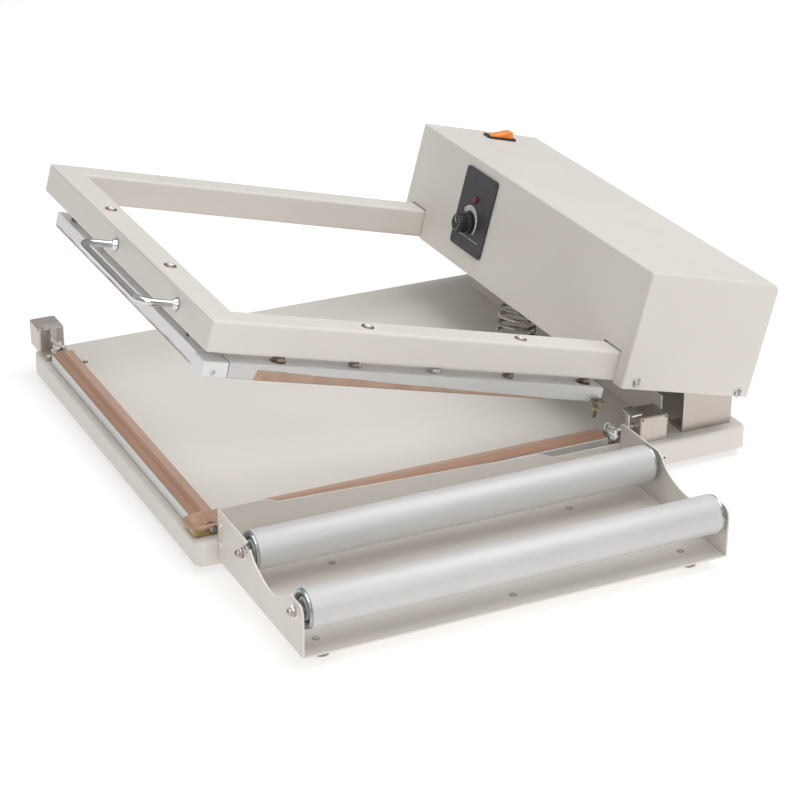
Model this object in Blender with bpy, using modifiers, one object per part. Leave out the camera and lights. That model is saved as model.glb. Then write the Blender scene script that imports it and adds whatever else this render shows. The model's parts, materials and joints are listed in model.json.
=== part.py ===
"""Tabletop L-bar sealer with a spring-raised sealing arm and a two-roller film cradle.

Units are metres and +Z is up. The counter is z = 0, +Y points to the rear hinge and +X to the
film cradle. The arm is modelled in its shut position, from its hinge axis, and the empty
"arm_pivot" then raises it to the open position in which its spring holds it.
"""
import math

import bmesh
import bpy
from mathutils import Vector

# Fits shared by the whole machine
SEAT_GAP = 0.0003
CUT_OVERRUN = 0.003
RUNNING_GAP = 0.0004
ARC_STEP = math.radians(14)
ROUND_SHARE = 1 / 2
ROUND_STEPS = 24
SMALL_ROUND_STEPS = 16

# Table pan, the folded sheet that everything stands on
TABLE_X = -0.0806
TABLE_WIDTH = 0.444
TABLE_DEPTH = 0.546
TABLE_SKIRT = 0.022
TABLE_SHEET = 0.0015
TABLE_CORNER_RADIUS = 0.008
TABLE_EDGE_RADIUS = 0.0035
BOTTOM_SHEET = 0.001
FOOT_HEIGHT = 0.008
FOOT_RADIUS = 0.010
FOOT_INSET = 0.040
LEAD_HOLE_RADIUS = 0.0025
LEAD_HOLE_INSET_X = 0.050
LEAD_HOLE_INSET_Y = 0.037
SKIRT_HOLE_RADIUS = 0.0012
SKIRT_HOLE_BACK = 0.089
SKIRT_HOLE_DROP = 0.015

# Sealing arm, a U of square tube hinged at the rear
ARM_SHIFT = 0.005
FRAME_MARGIN = 0.0125
FRAME_SETBACK = 0.0025
TUBE = 0.028
TUBE_WALL = 0.0018
TUBE_EDGE = 0.0022
TUBE_END_TO_HINGE = 0.0545
OPEN_ANGLE = math.radians(14.5)
HINGE_INSET = 0.021
HINGE_OVER_FLOOR = 0.0117
HINGE_SHAFT_RADIUS = 0.005

# Lower seal bars with their heating wires and covers
BAR_WIDTH = 0.0215
BAR_HEIGHT = 0.0115
BAR_CHAMFER = 0.0004
FRONT_BAR_SHORTER = 0.051
SIDE_BAR_TO_HINGE = 0.1229
CORNER_LIP = 0.0035
WIRE_RADIUS = 0.0007
TAPE_THICKNESS = 0.0005
TAPE_WIDTH = 0.0200
TAPE_DOME_WIDTH = 0.009
TAPE_DOME_STEPS = 8

# Upper jaws, which float on bolts under the tube
JAW_CLEARANCE = 0.0006
JAW_HEIGHT = 0.0142
JAW_PAD_WIDTH = 0.013
JAW_PAD_THICKNESS = 0.0026
JAW_PAD_PROUD = 0.001
JAW_GAP = 0.0085
JAW_TRAVEL = 0.003
FRONT_JAW_SHORTER = 0.061
SIDE_JAW_TO_HINGE = 0.1290
JAW_CHAMFER = 0.0012
JAW_BOLT_RADIUS = 0.0025
JAW_BOLT_DEPTH = 0.009
JAW_BOLT_HEAD_RADIUS = 0.0048
JAW_BOLT_HEAD_HEIGHT = 0.0024
FRONT_BOLT_SHARES = (0.274, 0.696)
SIDE_BOLT_SHARES = (0.336, 0.749)
JAW_BOSS_RADIUS = 0.0042
JAW_BOSS_HEIGHT = 0.0045
FRONT_BOSS_SHARES = (0.063, 0.485, 0.907)
SIDE_BOSS_SHARES = (0.13, 0.542, 0.955)

# Pull handle on the front tube
HANDLE_SPAN_SHARE = 0.358
HANDLE_CENTRE_SHARE = 0.1432
HANDLE_REACH = 0.034
HANDLE_ROD_RADIUS = 0.0033
HANDLE_BEND_RADIUS = 0.012
HANDLE_FLANGE_RADIUS = 0.0072
HANDLE_FLANGE_THICKNESS = 0.003

# Wire tension unit at the outer end of each lower bar
CLAMP_START = 0.0025
CLAMP_LENGTH = 0.0115
CLAMP_WIDTH = 0.011
CLAMP_HEIGHT = 0.0125
CLAMP_LIFT = 0.0035
CLAMP_SLOT = 0.0024
CLAMP_SLOT_DEPTH = 0.009
CLAMP_SCREW_RADIUS = 0.0035
CLAMP_SCREW_HEAD = 0.0018
HOOK_START = 0.0255
HOOK_SHEET = 0.0015
HOOK_FLANGE_LENGTH = 0.0105
HOOK_FLANGE_WIDTH = 0.018
HOOK_STEM_WIDTH = 0.006
HOOK_STEM_BOTTOM = 0.006
HOOK_LIFT = 0.0012
HOOK_TRAVEL = 0.003
ROD_RADIUS = 0.0023
ROD_WASHER_RADIUS = 0.0075
ROD_WASHER_THICKNESS = 0.002
BLOCK_START = 0.0325
BLOCK_LENGTH = 0.0295
BLOCK_WIDTH = 0.026
BLOCK_TOP = 0.0253
BLOCK_WALL = 0.0014
BLOCK_BASE = 0.002
BLOCK_LIP_START = 0.0105
BLOCK_EDGE = 0.0018
TENSION_SPRING_TURNS = 5
TENSION_SPRING_RADIUS = 0.0048
TENSION_SPRING_WIRE = 0.0006
TENSION_SPRING_POINTS = 8

# Hinge stand on the table
BRACKET_INSET = 0.005
BRACKET_SHEET = 0.003
BRACKET_DEPTH = 0.0525
BRACKET_BACK = 0.0098
BRACKET_FLANGE = 0.022
BRACKET_CROWN = 0.0105
GUARD_NARROWER = 0.042
GUARD_TO_HINGE = 0.057
GUARD_CLEARANCE = 0.0038
GUARD_SHEET = 0.0015
GUARD_REAR_HEIGHT = 0.029
SHAFT_END = 0.005

# Coil spring that lifts the arm, and its lower seat
SPRING_SHARE = 0.851
SPRING_COIL_RADIUS = 0.0188
SPRING_WIRE_RADIUS = 0.0015
SPRING_TURNS = 8.2
SPRING_END_TURNS = 0.75
SPRING_END_PITCH = 0.0040
SPRING_POINTS_PER_TURN = 10
SPRING_SEAT_RADIUS = 0.023
SPRING_SEAT_FLANGE = 0.0015
SPRING_SPIGOT_RADIUS = 0.0145
SPRING_SPIGOT_HEIGHT = 0.007

# Film cradle on the right of the table
CRADLE_FRONT_INSET = 0.019
CRADLE_SHORTER = 0.155
CRADLE_DEPTH = 0.177
CRADLE_SHEET = 0.0015
CRADLE_FLOOR_DROP = 0.018
CRADLE_RISE = 0.0303
CRADLE_SMALL_RADIUS = 0.0015
CRADLE_FRONT_RADIUS = 0.009
CRADLE_EDGE_RADIUS = 0.0022
CRADLE_EDGE_SHARES = (
    (0.900, 0.900), (0.865, 0.930), (0.845, 0.840), (0.817, 0.690), (0.768, 0.530),
    (0.719, 0.400), (0.680, 0.325), (0.645, 0.300), (0.600, 0.315), (0.555, 0.365),
    (0.510, 0.445), (0.470, 0.530), (0.436, 0.640), (0.410, 0.780), (0.388, 0.900),
)
CRADLE_FRONT_SHARE = 0.910
CRADLE_SHOULDER_SHARE = 0.362
SLOT_ANGLE = math.radians(45)
SLOT_LENGTH = 0.030
WALL_TAB_LENGTH = 0.041
WALL_STEP_LENGTH = 0.012
WALL_MIDDLE_RISE = 0.0255
WALL_MIDDLE_END_RISE = 0.017
WALL_MIDDLE_SHARE = 0.653
WALL_END_RISE = 0.011
WALL_CURVE_RADIUS = 0.009
RIVET_RADIUS = 0.0022
RIVET_HEIGHT = 0.0009
RIVET_INSET = 0.0062
RIVET_PITCH = 0.0184
CRADLE_FOOT_RADIUS = 0.008
CRADLE_FOOT_INSET_X = 0.021
CRADLE_FOOT_INSET_Y = 0.023
CRADLE_HOLE_RADIUS = 0.002

# Film rollers
ROLLER_RADIUS = 0.017
ROLLER_WALL = 0.0016
ROLLER_END_GAP = 0.0084
ROLLER_INNER_SHARE = 0.3147
ROLLER_INNER_RISE = 0.0166
ROLLER_OUTER_INSET = 0.0145
ROLLER_OUTER_RISE = 0.018
CAP_LENGTH = 0.009
CAP_FLANGE = 0.0026
CAP_FLANGE_STEP = 0.0005
CAP_RECESS = 0.0022
CAP_RIM = 0.0026
CAP_HUB_RADIUS = 0.0075
AXLE_RADIUS = 0.003
AXLE_NUT_RADIUS = 0.0052
AXLE_NUT_HEIGHT = 0.0035
AXLE_TAIL = 0.002

# Control housing on the rear of the arm
HOUSING_SIDE_MARGIN = 0.0162
HOUSING_DEPTH = 0.140
HOUSING_HEIGHT = 0.1095
HOUSING_DROP = 0.0288
HOUSING_BEHIND_HINGE = 0.0155
HOUSING_SHEET = 0.0012
HOUSING_EDGE = 0.0018
HOUSING_REAR_EDGE = 0.008
NOTCH_GAP = 0.0012
CHASSIS_SHEET = 0.002
CHASSIS_LIP = 0.018
CHASSIS_EAR_CROWN = 0.010
CHASSIS_REAR_GAP = 0.0008
CHASSIS_EAR_TO_HINGE = 0.050

# Control panel, timer, lamp and mains rocker
PANEL_FROM_LEFT = 0.1382
PANEL_BELOW_TOP = 0.0503
PANEL_WIDTH = 0.063
PANEL_HEIGHT = 0.080
PANEL_SHEET = 0.0015
PANEL_CORNER = 0.004
KNOB_ASIDE = 0.0043
KNOB_DROP = 0.0132
KNOB_RADIUS = 0.0094
KNOB_SKIRT_RADIUS = 0.0105
KNOB_SKIRT_HEIGHT = 0.0025
KNOB_LENGTH = 0.0142
KNOB_TOP_ROUND = 0.0012
KNOB_GROOVE = 0.0012
KNOB_BORE_DEPTH = 0.0105
POT_SHAFT_RADIUS = 0.003
POT_SHAFT_LENGTH = 0.0095
POT_BODY_RADIUS = 0.008
POT_BODY_LENGTH = 0.008
BOARD_WIDTH = 0.058
BOARD_HEIGHT = 0.070
BOARD_SHEET = 0.0016
LAMP_ASIDE = 0.0010
LAMP_RISE = 0.0120
LAMP_RADIUS = 0.0029
LAMP_STEM_RADIUS = 0.0025
LAMP_STEM_LENGTH = 0.008
LAMP_HEIGHT = 0.0026
ROCKER_FROM_LEFT = 0.0247
ROCKER_FROM_FRONT_WALL = 0.0765
BEZEL_LENGTH = 0.033
BEZEL_WIDTH = 0.0155
BEZEL_RISE = 0.0018
BEZEL_CORNER = 0.0025
BEZEL_BODY_DEPTH = 0.018
BEZEL_BODY_INSET = 0.0015
BEZEL_RIM = 0.0028
ROCKER_HALF_ANGLE = math.radians(10.0)
ROCKER_PIVOT_DROP = 0.0045
ROCKER_CROWN = 0.0052
ROCKER_DEPTH = 0.0045

# Transformer on the chassis floor
CORE_WIDTH = 0.078
CORE_HEIGHT = 0.065
CORE_STACK = 0.034
CORE_LIMB = 0.013
COIL_OVERHANG = 0.011
TRANSFORMER_X_SHARE = 0.155
TRANSFORMER_Y_SHARE = 0.418

# Bolt on the side jaw that presses the seal switch through the table
ACTUATOR_RADIUS = 0.002
ACTUATOR_INTO_TABLE = 0.0012
ACTUATOR_OUT = 0.0155
ACTUATOR_TO_HINGE = 0.1345
ACTUATOR_NUT_RADIUS = 0.0044
ACTUATOR_NUT_HEIGHT = 0.0045
ACTUATOR_HOLE_RADIUS = 0.003
ACTUATOR_TAB = 0.0025
ACTUATOR_TAB_WIDTH = 0.010
SWITCH_LENGTH = 0.020
SWITCH_WIDTH = 0.0065
SWITCH_HEIGHT = 0.010
SWITCH_PLUNGER_RADIUS = 0.0012
SWITCH_PLUNGER_DROP = 0.0016

# Places that follow from the sizes above, from the counter up
TABLE_TOP = FOOT_HEIGHT + TABLE_SKIRT
BAR_TOP = TABLE_TOP + SEAT_GAP + BAR_HEIGHT
WIRE_Z = BAR_TOP + SEAT_GAP + WIRE_RADIUS
DOME_RISE = 2 * WIRE_RADIUS + SEAT_GAP
SEAL_TOP = BAR_TOP + SEAT_GAP + TAPE_THICKNESS + DOME_RISE
JAW_BOTTOM = SEAL_TOP + JAW_CLEARANCE + JAW_PAD_PROUD
FRAME_TOP = JAW_BOTTOM + JAW_HEIGHT + JAW_GAP + TUBE
HINGE_Z = FRAME_TOP - HOUSING_DROP + HINGE_OVER_FLOOR

# Places across the table
FRAME_WIDTH = TABLE_WIDTH - 2 * FRAME_MARGIN
HOUSING_WIDTH = FRAME_WIDTH + 2 * HOUSING_SIDE_MARGIN
BRACKET_OUTER = FRAME_WIDTH / 2 - BRACKET_INSET
ARM_X = TABLE_X + ARM_SHIFT
SIDE_LINE_LOCAL_X = FRAME_WIDTH / 2 - TUBE / 2
SIDE_LINE_X = ARM_X + SIDE_LINE_LOCAL_X
CORNER_LEFT_X = SIDE_LINE_X - BAR_WIDTH / 2
LOWER_FRONT_LENGTH = FRAME_WIDTH - FRONT_BAR_SHORTER
UPPER_FRONT_LENGTH = FRAME_WIDTH - FRONT_JAW_SHORTER
PANEL_X = PANEL_FROM_LEFT - HOUSING_WIDTH / 2
KNOB_X = PANEL_X - KNOB_ASIDE
LAMP_X = PANEL_X - LAMP_ASIDE
ROCKER_X = ROCKER_FROM_LEFT - HOUSING_WIDTH / 2
CRADLE_BACK_X = TABLE_X + TABLE_WIDTH / 2 + SEAT_GAP

# Places along the table's depth
FRAME_FRONT_Y = FRAME_SETBACK - TABLE_DEPTH / 2
FRONT_LINE_Y = FRAME_FRONT_Y + TUBE / 2
CORNER_FRONT_Y = FRONT_LINE_Y - BAR_WIDTH / 2 - CORNER_LIP
CORNER_REAR_Y = FRONT_LINE_Y + BAR_WIDTH / 2
HINGE_Y = TABLE_DEPTH / 2 - HINGE_INSET
SIDE_BAR_END_Y = HINGE_Y - SIDE_BAR_TO_HINGE
LOWER_SIDE_LENGTH = SIDE_BAR_END_Y - CORNER_REAR_Y - SEAT_GAP
GUARD_Y = HINGE_Y - GUARD_TO_HINGE
CRADLE_FRONT_Y = CRADLE_FRONT_INSET - TABLE_DEPTH / 2
CRADLE_LENGTH = TABLE_DEPTH - CRADLE_SHORTER
CRADLE_REAR_Y = CRADLE_FRONT_Y + CRADLE_LENGTH

# Places on the arm, from its hinge axis, with the arm shut
FRONT_TO_HINGE = HINGE_Y - FRAME_FRONT_Y
HINGE_BELOW_TOP = FRAME_TOP - HINGE_Z
JAW_LINE_Y = TUBE / 2 - FRONT_TO_HINGE
SIDE_JAW_START_Y = JAW_LINE_Y + BAR_WIDTH / 2 + SEAT_GAP
UPPER_SIDE_LENGTH = -SIDE_JAW_TO_HINGE - SIDE_JAW_START_Y
HOUSING_RISE = HOUSING_HEIGHT - HOUSING_DROP
HOUSING_FLOOR_Z = HINGE_BELOW_TOP - HOUSING_DROP
HOUSING_TOP_Z = HINGE_BELOW_TOP + HOUSING_RISE
HOUSING_REAR_Y = HOUSING_BEHIND_HINGE
HOUSING_FRONT_Y = HOUSING_REAR_Y - HOUSING_DEPTH
SPRING_Y = HINGE_Y + HOUSING_FRONT_Y * SPRING_SHARE
PANEL_Z = HOUSING_TOP_Z - PANEL_BELOW_TOP
KNOB_Z = PANEL_Z - KNOB_DROP
LAMP_Z = PANEL_Z + LAMP_RISE
CRADLE_FLOOR_Z = TABLE_TOP - CRADLE_FLOOR_DROP


def arm_y(from_front):
    """Y from the hinge axis of a point given by its distance behind the front tube's face."""
    return from_front - FRONT_TO_HINGE


def arm_z(from_top):
    """Z from the hinge axis of a point given by its height over the tube's top."""
    return from_top + HINGE_BELOW_TOP


def material(name, colour, roughness, metallic=0.0):
    paint = bpy.data.materials.new(name)
    paint.use_nodes = True
    shader = paint.node_tree.nodes["Principled BSDF"]
    shader.inputs["Base Color"].default_value = (*colour, 1.0)
    shader.inputs["Roughness"].default_value = roughness
    shader.inputs["Metallic"].default_value = metallic
    return paint


def new_collection(name):
    collection = bpy.data.collections.new(name)
    bpy.context.scene.collection.children.link(collection)
    return collection


def empty(name, place, turn=(0, 0, 0), parent=None):
    item = bpy.data.objects.new(name, None)
    item.location = place
    item.rotation_euler = turn
    item.parent = parent
    PARTS.objects.link(item)
    return item


def add(name, mesh, paint, place=(0, 0, 0), turn=(0, 0, 0), parent=None):
    """Put a mesh in the scene as one named piece, or as a cutter when it has no paint."""
    item = bpy.data.objects.new(name, mesh)
    item.location = place
    item.rotation_euler = turn
    item.parent = parent
    if paint is None:
        CUTTERS.objects.link(item)
        item.hide_render = True
        item.display_type = "WIRE"
    else:
        mesh.materials.append(paint)
        PARTS.objects.link(item)
    return item


def mesh_from(shape):
    mesh = bpy.data.meshes.new("shape")
    shape.to_mesh(mesh)
    shape.free()
    return mesh


def box(name, low, high, paint=None, parent=None):
    shape = bmesh.new()
    bmesh.ops.create_cube(shape, size=1.0)
    size = [b - a for a, b in zip(low, high)]
    bmesh.ops.scale(shape, vec=size, verts=shape.verts)
    middle = [(a + b) / 2 for a, b in zip(low, high)]
    return add(name, mesh_from(shape), paint, middle, parent=parent)


AXIS_TURNS = {"X": (0, math.pi / 2, 0), "Y": (math.pi / 2, 0, 0), "Z": (0, 0, 0)}


def rod(name, radius, length, middle, axis, paint=None, parent=None, steps=ROUND_STEPS):
    shape = bmesh.new()
    bmesh.ops.create_cone(
        shape, cap_ends=True, segments=steps, radius1=radius, radius2=radius, depth=length
    )
    item = add(name, mesh_from(shape), paint, middle, AXIS_TURNS[axis], parent)
    item.data.shade_smooth()
    item.data.set_sharp_from_angle(angle=math.radians(35))
    return item


def turned(name, profile, place, turn, paint=None, parent=None, steps=ROUND_STEPS, ring=False):
    """A lathe shape from (radius, height) points that run down its outer side."""
    shape = bmesh.new()
    points = [shape.verts.new((radius, 0, height)) for radius, height in profile]
    for first, second in zip(points, points[1:]):
        shape.edges.new((first, second))
    if ring:
        shape.edges.new((points[-1], points[0]))
    item = add(name, mesh_from(shape), paint, place, turn, parent)
    screw = item.modifiers.new("turn", "SCREW")
    screw.steps = steps
    screw.render_steps = steps
    screw.use_merge_vertices = True
    screw.merge_threshold = 0.00001
    screw.use_smooth_shade = False
    return item


def filleted(corners):
    """Outline points for corners given as (x, y) or (x, y, radius)."""
    outline = []
    count = len(corners)
    for index, corner in enumerate(corners):
        here = Vector(corner[:2])
        radius = corner[2] if len(corner) > 2 else 0
        if radius <= 0:
            outline.append(tuple(here))
            continue
        before = (Vector(corners[index - 1][:2]) - here).normalized()
        after = (Vector(corners[(index + 1) % count][:2]) - here).normalized()
        half = before.angle(after) / 2
        tangent = radius / math.tan(half)
        centre = here + (before + after).normalized() * (radius / math.sin(half))
        start = here + before * tangent - centre
        end = here + after * tangent - centre
        sweep = start.angle_signed(end)
        steps = max(2, math.ceil(abs(sweep) / ARC_STEP))
        for step in range(steps + 1):
            angle = math.atan2(start.y, start.x) - sweep * step / steps
            outline.append((centre.x + radius * math.cos(angle), centre.y + radius * math.sin(angle)))
    return outline


def circle(x, y, radius, steps=SMALL_ROUND_STEPS):
    turns = [2 * math.pi * step / steps for step in range(steps)]
    return [(x + radius * math.cos(a), y + radius * math.sin(a)) for a in turns]


def plate(name, outlines, thickness, place, turn, paint=None, parent=None):
    """A flat outline with its holes, given half its thickness on each side of its plane."""
    curve = bpy.data.curves.new(name, "CURVE")
    curve.dimensions = "2D"
    curve.fill_mode = "BOTH"
    curve.extrude = thickness / 2
    for outline in outlines:
        spline = curve.splines.new("POLY")
        spline.points.add(len(outline) - 1)
        for point, (x, y) in zip(spline.points, outline):
            point.co = (x, y, 0, 1)
        spline.use_cyclic_u = True
    sketch = bpy.data.objects.new("sketch", curve)
    CUTTERS.objects.link(sketch)
    bpy.context.view_layer.update()
    view = bpy.context.evaluated_depsgraph_get()
    mesh = bpy.data.meshes.new_from_object(sketch.evaluated_get(view))
    shape = bmesh.new()
    shape.from_mesh(mesh)
    bmesh.ops.remove_doubles(shape, verts=shape.verts, dist=0.000001)
    if len(outlines) == 1:
        bmesh.ops.dissolve_limit(
            shape, angle_limit=math.radians(0.5), verts=shape.verts, edges=shape.edges
        )
    shape.to_mesh(mesh)
    shape.free()
    item = add(name, mesh, paint, place, turn, parent)
    bpy.data.objects.remove(sketch, do_unlink=True)
    return item


# Turns that stand a flat outline up: its x and y become the two named axes
ALONG_XZ = (math.pi / 2, 0, 0)
ALONG_YZ = (math.pi / 2, 0, math.pi / 2)


def combine(item, tool, operation):
    step = item.modifiers.new(operation.lower(), "BOOLEAN")
    step.operation = operation
    step.solver = "EXACT"
    step.object = tool
    return item


def cut(item, tool):
    return combine(item, tool, "DIFFERENCE")


def fuse(item, tool):
    return combine(item, tool, "UNION")


def soften(item, width, segments=2):
    bevel = item.modifiers.new("edges", "BEVEL")
    bevel.width = width
    bevel.segments = segments
    bevel.limit_method = "ANGLE"
    bevel.angle_limit = math.radians(40)
    return item


def open_box(name, low, high, wall, vertical_radius, top_radius, paint, parent=None):
    """A folded sheet box without a floor, its wall inside the given corners."""
    shape = bmesh.new()
    bmesh.ops.create_cube(shape, size=1.0)
    size = [b - a for a, b in zip(low, high)]
    bmesh.ops.scale(shape, vec=size, verts=shape.verts)
    uprights = [e for e in shape.edges if abs((e.verts[0].co - e.verts[1].co).z) > size[2] / 2]
    bmesh.ops.bevel(
        shape, geom=uprights, offset=vertical_radius, segments=3, profile=ROUND_SHARE, affect="EDGES"
    )
    rim = [e for e in shape.edges if min(v.co.z for v in e.verts) > size[2] / 2 - wall]
    bmesh.ops.bevel(shape, geom=rim, offset=top_radius, segments=3, profile=ROUND_SHARE, affect="EDGES")
    floor = [f for f in shape.faces if f.calc_center_median().z < -size[2] / 2 + wall / 2]
    bmesh.ops.delete(shape, geom=floor, context="FACES")
    middle = [(a + b) / 2 for a, b in zip(low, high)]
    item = add(name, mesh_from(shape), paint, middle, parent=parent)
    sheet = item.modifiers.new("sheet", "SOLIDIFY")
    sheet.thickness = wall
    sheet.offset = -1
    return item


def wire_tube(name, points, radius, paint, parent=None, place=(0, 0, 0), turn=(0, 0, 0), sides=1):
    curve = bpy.data.curves.new(name, "CURVE")
    curve.dimensions = "3D"
    curve.bevel_depth = radius
    curve.bevel_resolution = sides
    curve.use_fill_caps = True
    spline = curve.splines.new("POLY")
    spline.points.add(len(points) - 1)
    for point, place_of_point in zip(spline.points, points):
        point.co = (*place_of_point, 1)
    item = bpy.data.objects.new(name, curve)
    item.location = place
    item.rotation_euler = turn
    item.parent = parent
    curve.materials.append(paint)
    PARTS.objects.link(item)
    return item


def least_gap(points, radius, skip):
    """Smallest clear distance between stretches of one wire that lie over skip points apart."""
    least = math.inf
    for index, first in enumerate(points):
        for second in points[index + skip:]:
            least = min(least, (Vector(first) - Vector(second)).length - 2 * radius)
    return least


def build_table():
    left = TABLE_X - TABLE_WIDTH / 2
    right = TABLE_X + TABLE_WIDTH / 2
    front = -TABLE_DEPTH / 2
    rear = TABLE_DEPTH / 2
    pan = open_box(
        "table_pan", (left, front, FOOT_HEIGHT), (right, rear, TABLE_TOP), TABLE_SHEET,
        TABLE_CORNER_RADIUS, TABLE_EDGE_RADIUS, CREAM,
    )
    depth = 2 * (TABLE_SHEET + CUT_OVERRUN)
    lead_place = (left + LEAD_HOLE_INSET_X, front + LEAD_HOLE_INSET_Y, TABLE_TOP)
    cut(pan, rod("lead_hole_cut", LEAD_HOLE_RADIUS, depth, lead_place, "Z"))
    actuator_place = (SIDE_LINE_X + ACTUATOR_OUT, HINGE_Y - ACTUATOR_TO_HINGE, TABLE_TOP)
    cut(pan, rod("actuator_hole_cut", ACTUATOR_HOLE_RADIUS, depth, actuator_place, "Z"))
    skirt_place = (right, rear - SKIRT_HOLE_BACK, TABLE_TOP - SKIRT_HOLE_DROP)
    cut(pan, rod("skirt_hole_cut", SKIRT_HOLE_RADIUS, depth, skirt_place, "X"))

    inset = TABLE_SHEET + SEAT_GAP
    floor = box(
        "bottom_plate", (left + inset, front + inset, FOOT_HEIGHT),
        (right - inset, rear - inset, FOOT_HEIGHT + BOTTOM_SHEET), STEEL,
    )
    radius = TABLE_CORNER_RADIUS - TABLE_SHEET
    bevel = soften(floor, radius).modifiers["edges"]
    bevel.limit_method = "WEIGHT"
    weights = floor.data.attributes.new("bevel_weight_edge", "FLOAT", "EDGE")
    for edge in floor.data.edges:
        first, second = (floor.data.vertices[v].co for v in edge.vertices)
        weights.data[edge.index].value = 1.0 if abs(first.z - second.z) > BOTTOM_SHEET / 2 else 0.0

    for row, y in (("front", front + FOOT_INSET), ("rear", rear - FOOT_INSET)):
        for side, x in (("left", left + FOOT_INSET), ("right", right - FOOT_INSET)):
            height = FOOT_HEIGHT - SEAT_GAP
            profile = [(0, height), (FOOT_RADIUS, height), (FOOT_RADIUS - height / 6, 0), (0, 0)]
            turned(f"table_foot_{row}_{side}", profile, (x, y, 0), (0, 0, 0), RUBBER,
                   steps=SMALL_ROUND_STEPS)


def bar_outline():
    half = BAR_WIDTH / 2
    return [
        (-half, 0), (half, 0), (half, BAR_HEIGHT - BAR_CHAMFER), (half - BAR_CHAMFER, BAR_HEIGHT),
        (-half + BAR_CHAMFER, BAR_HEIGHT), (-half, BAR_HEIGHT - BAR_CHAMFER),
    ]


def tape_outline():
    """Flat cover tape with a round dome over the wire, from the bar's top upwards."""
    lower = [(-TAPE_WIDTH / 2, 0)]
    for step in range(TAPE_DOME_STEPS + 1):
        share = step / TAPE_DOME_STEPS
        rise = DOME_RISE * math.sin(math.pi * share) ** 2 if 0 < step < TAPE_DOME_STEPS else 0
        lower.append((TAPE_DOME_WIDTH * (share - 1 / 2), rise))
    lower.append((TAPE_WIDTH / 2, 0))
    upper = [(x, z + TAPE_THICKNESS) for x, z in reversed(lower)]
    return lower + upper


def build_lower_bars():
    """Two aluminium bars in an L, each with a round heating wire under a slippery cover tape."""
    corner_left = CORNER_LEFT_X
    corner_rear = CORNER_REAR_Y
    base_z = TABLE_TOP + SEAT_GAP
    front_end = corner_left - SEAT_GAP - LOWER_FRONT_LENGTH
    side_end = SIDE_BAR_END_Y
    plate("lower_front_bar", [bar_outline()], LOWER_FRONT_LENGTH,
          (front_end + LOWER_FRONT_LENGTH / 2, FRONT_LINE_Y, base_z), ALONG_YZ, ALUMINIUM)
    plate("lower_side_bar", [bar_outline()], LOWER_SIDE_LENGTH,
          (SIDE_LINE_X, side_end - LOWER_SIDE_LENGTH / 2, base_z), ALONG_XZ, ALUMINIUM)
    soften(box("corner_block", (corner_left, CORNER_FRONT_Y, base_z),
               (SIDE_LINE_X + BAR_WIDTH / 2, corner_rear, BAR_TOP), BRASS), JAW_CHAMFER)

    tape_z = BAR_TOP + SEAT_GAP
    tape_length = LOWER_FRONT_LENGTH + BAR_WIDTH
    plate("front_tape", [tape_outline()], tape_length,
          (front_end + tape_length / 2, FRONT_LINE_Y, tape_z), ALONG_YZ, TAPE)
    plate("side_tape", [tape_outline()], LOWER_SIDE_LENGTH,
          (SIDE_LINE_X, side_end - LOWER_SIDE_LENGTH / 2, tape_z), ALONG_XZ, TAPE)

    grip = CLAMP_START + CLAMP_SLOT_DEPTH / 2
    wire_steps = 8
    front_wire = tape_length - BAR_WIDTH / 2 + grip
    rod("front_heating_wire", WIRE_RADIUS, front_wire,
        (front_end - grip + front_wire / 2, FRONT_LINE_Y, WIRE_Z), "X", NICHROME, steps=wire_steps)
    side_start = FRONT_LINE_Y + TAPE_WIDTH / 2 + SEAT_GAP
    side_wire = side_end + grip - side_start
    rod("side_heating_wire", WIRE_RADIUS, side_wire,
        (SIDE_LINE_X, side_start + side_wire / 2, WIRE_Z), "Y", NICHROME, steps=wire_steps)
    build_tension_unit("front", (front_end, FRONT_LINE_Y, 0), math.pi, 1)
    build_tension_unit("side", (SIDE_LINE_X, side_end, 0), math.pi / 2, -1)


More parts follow.
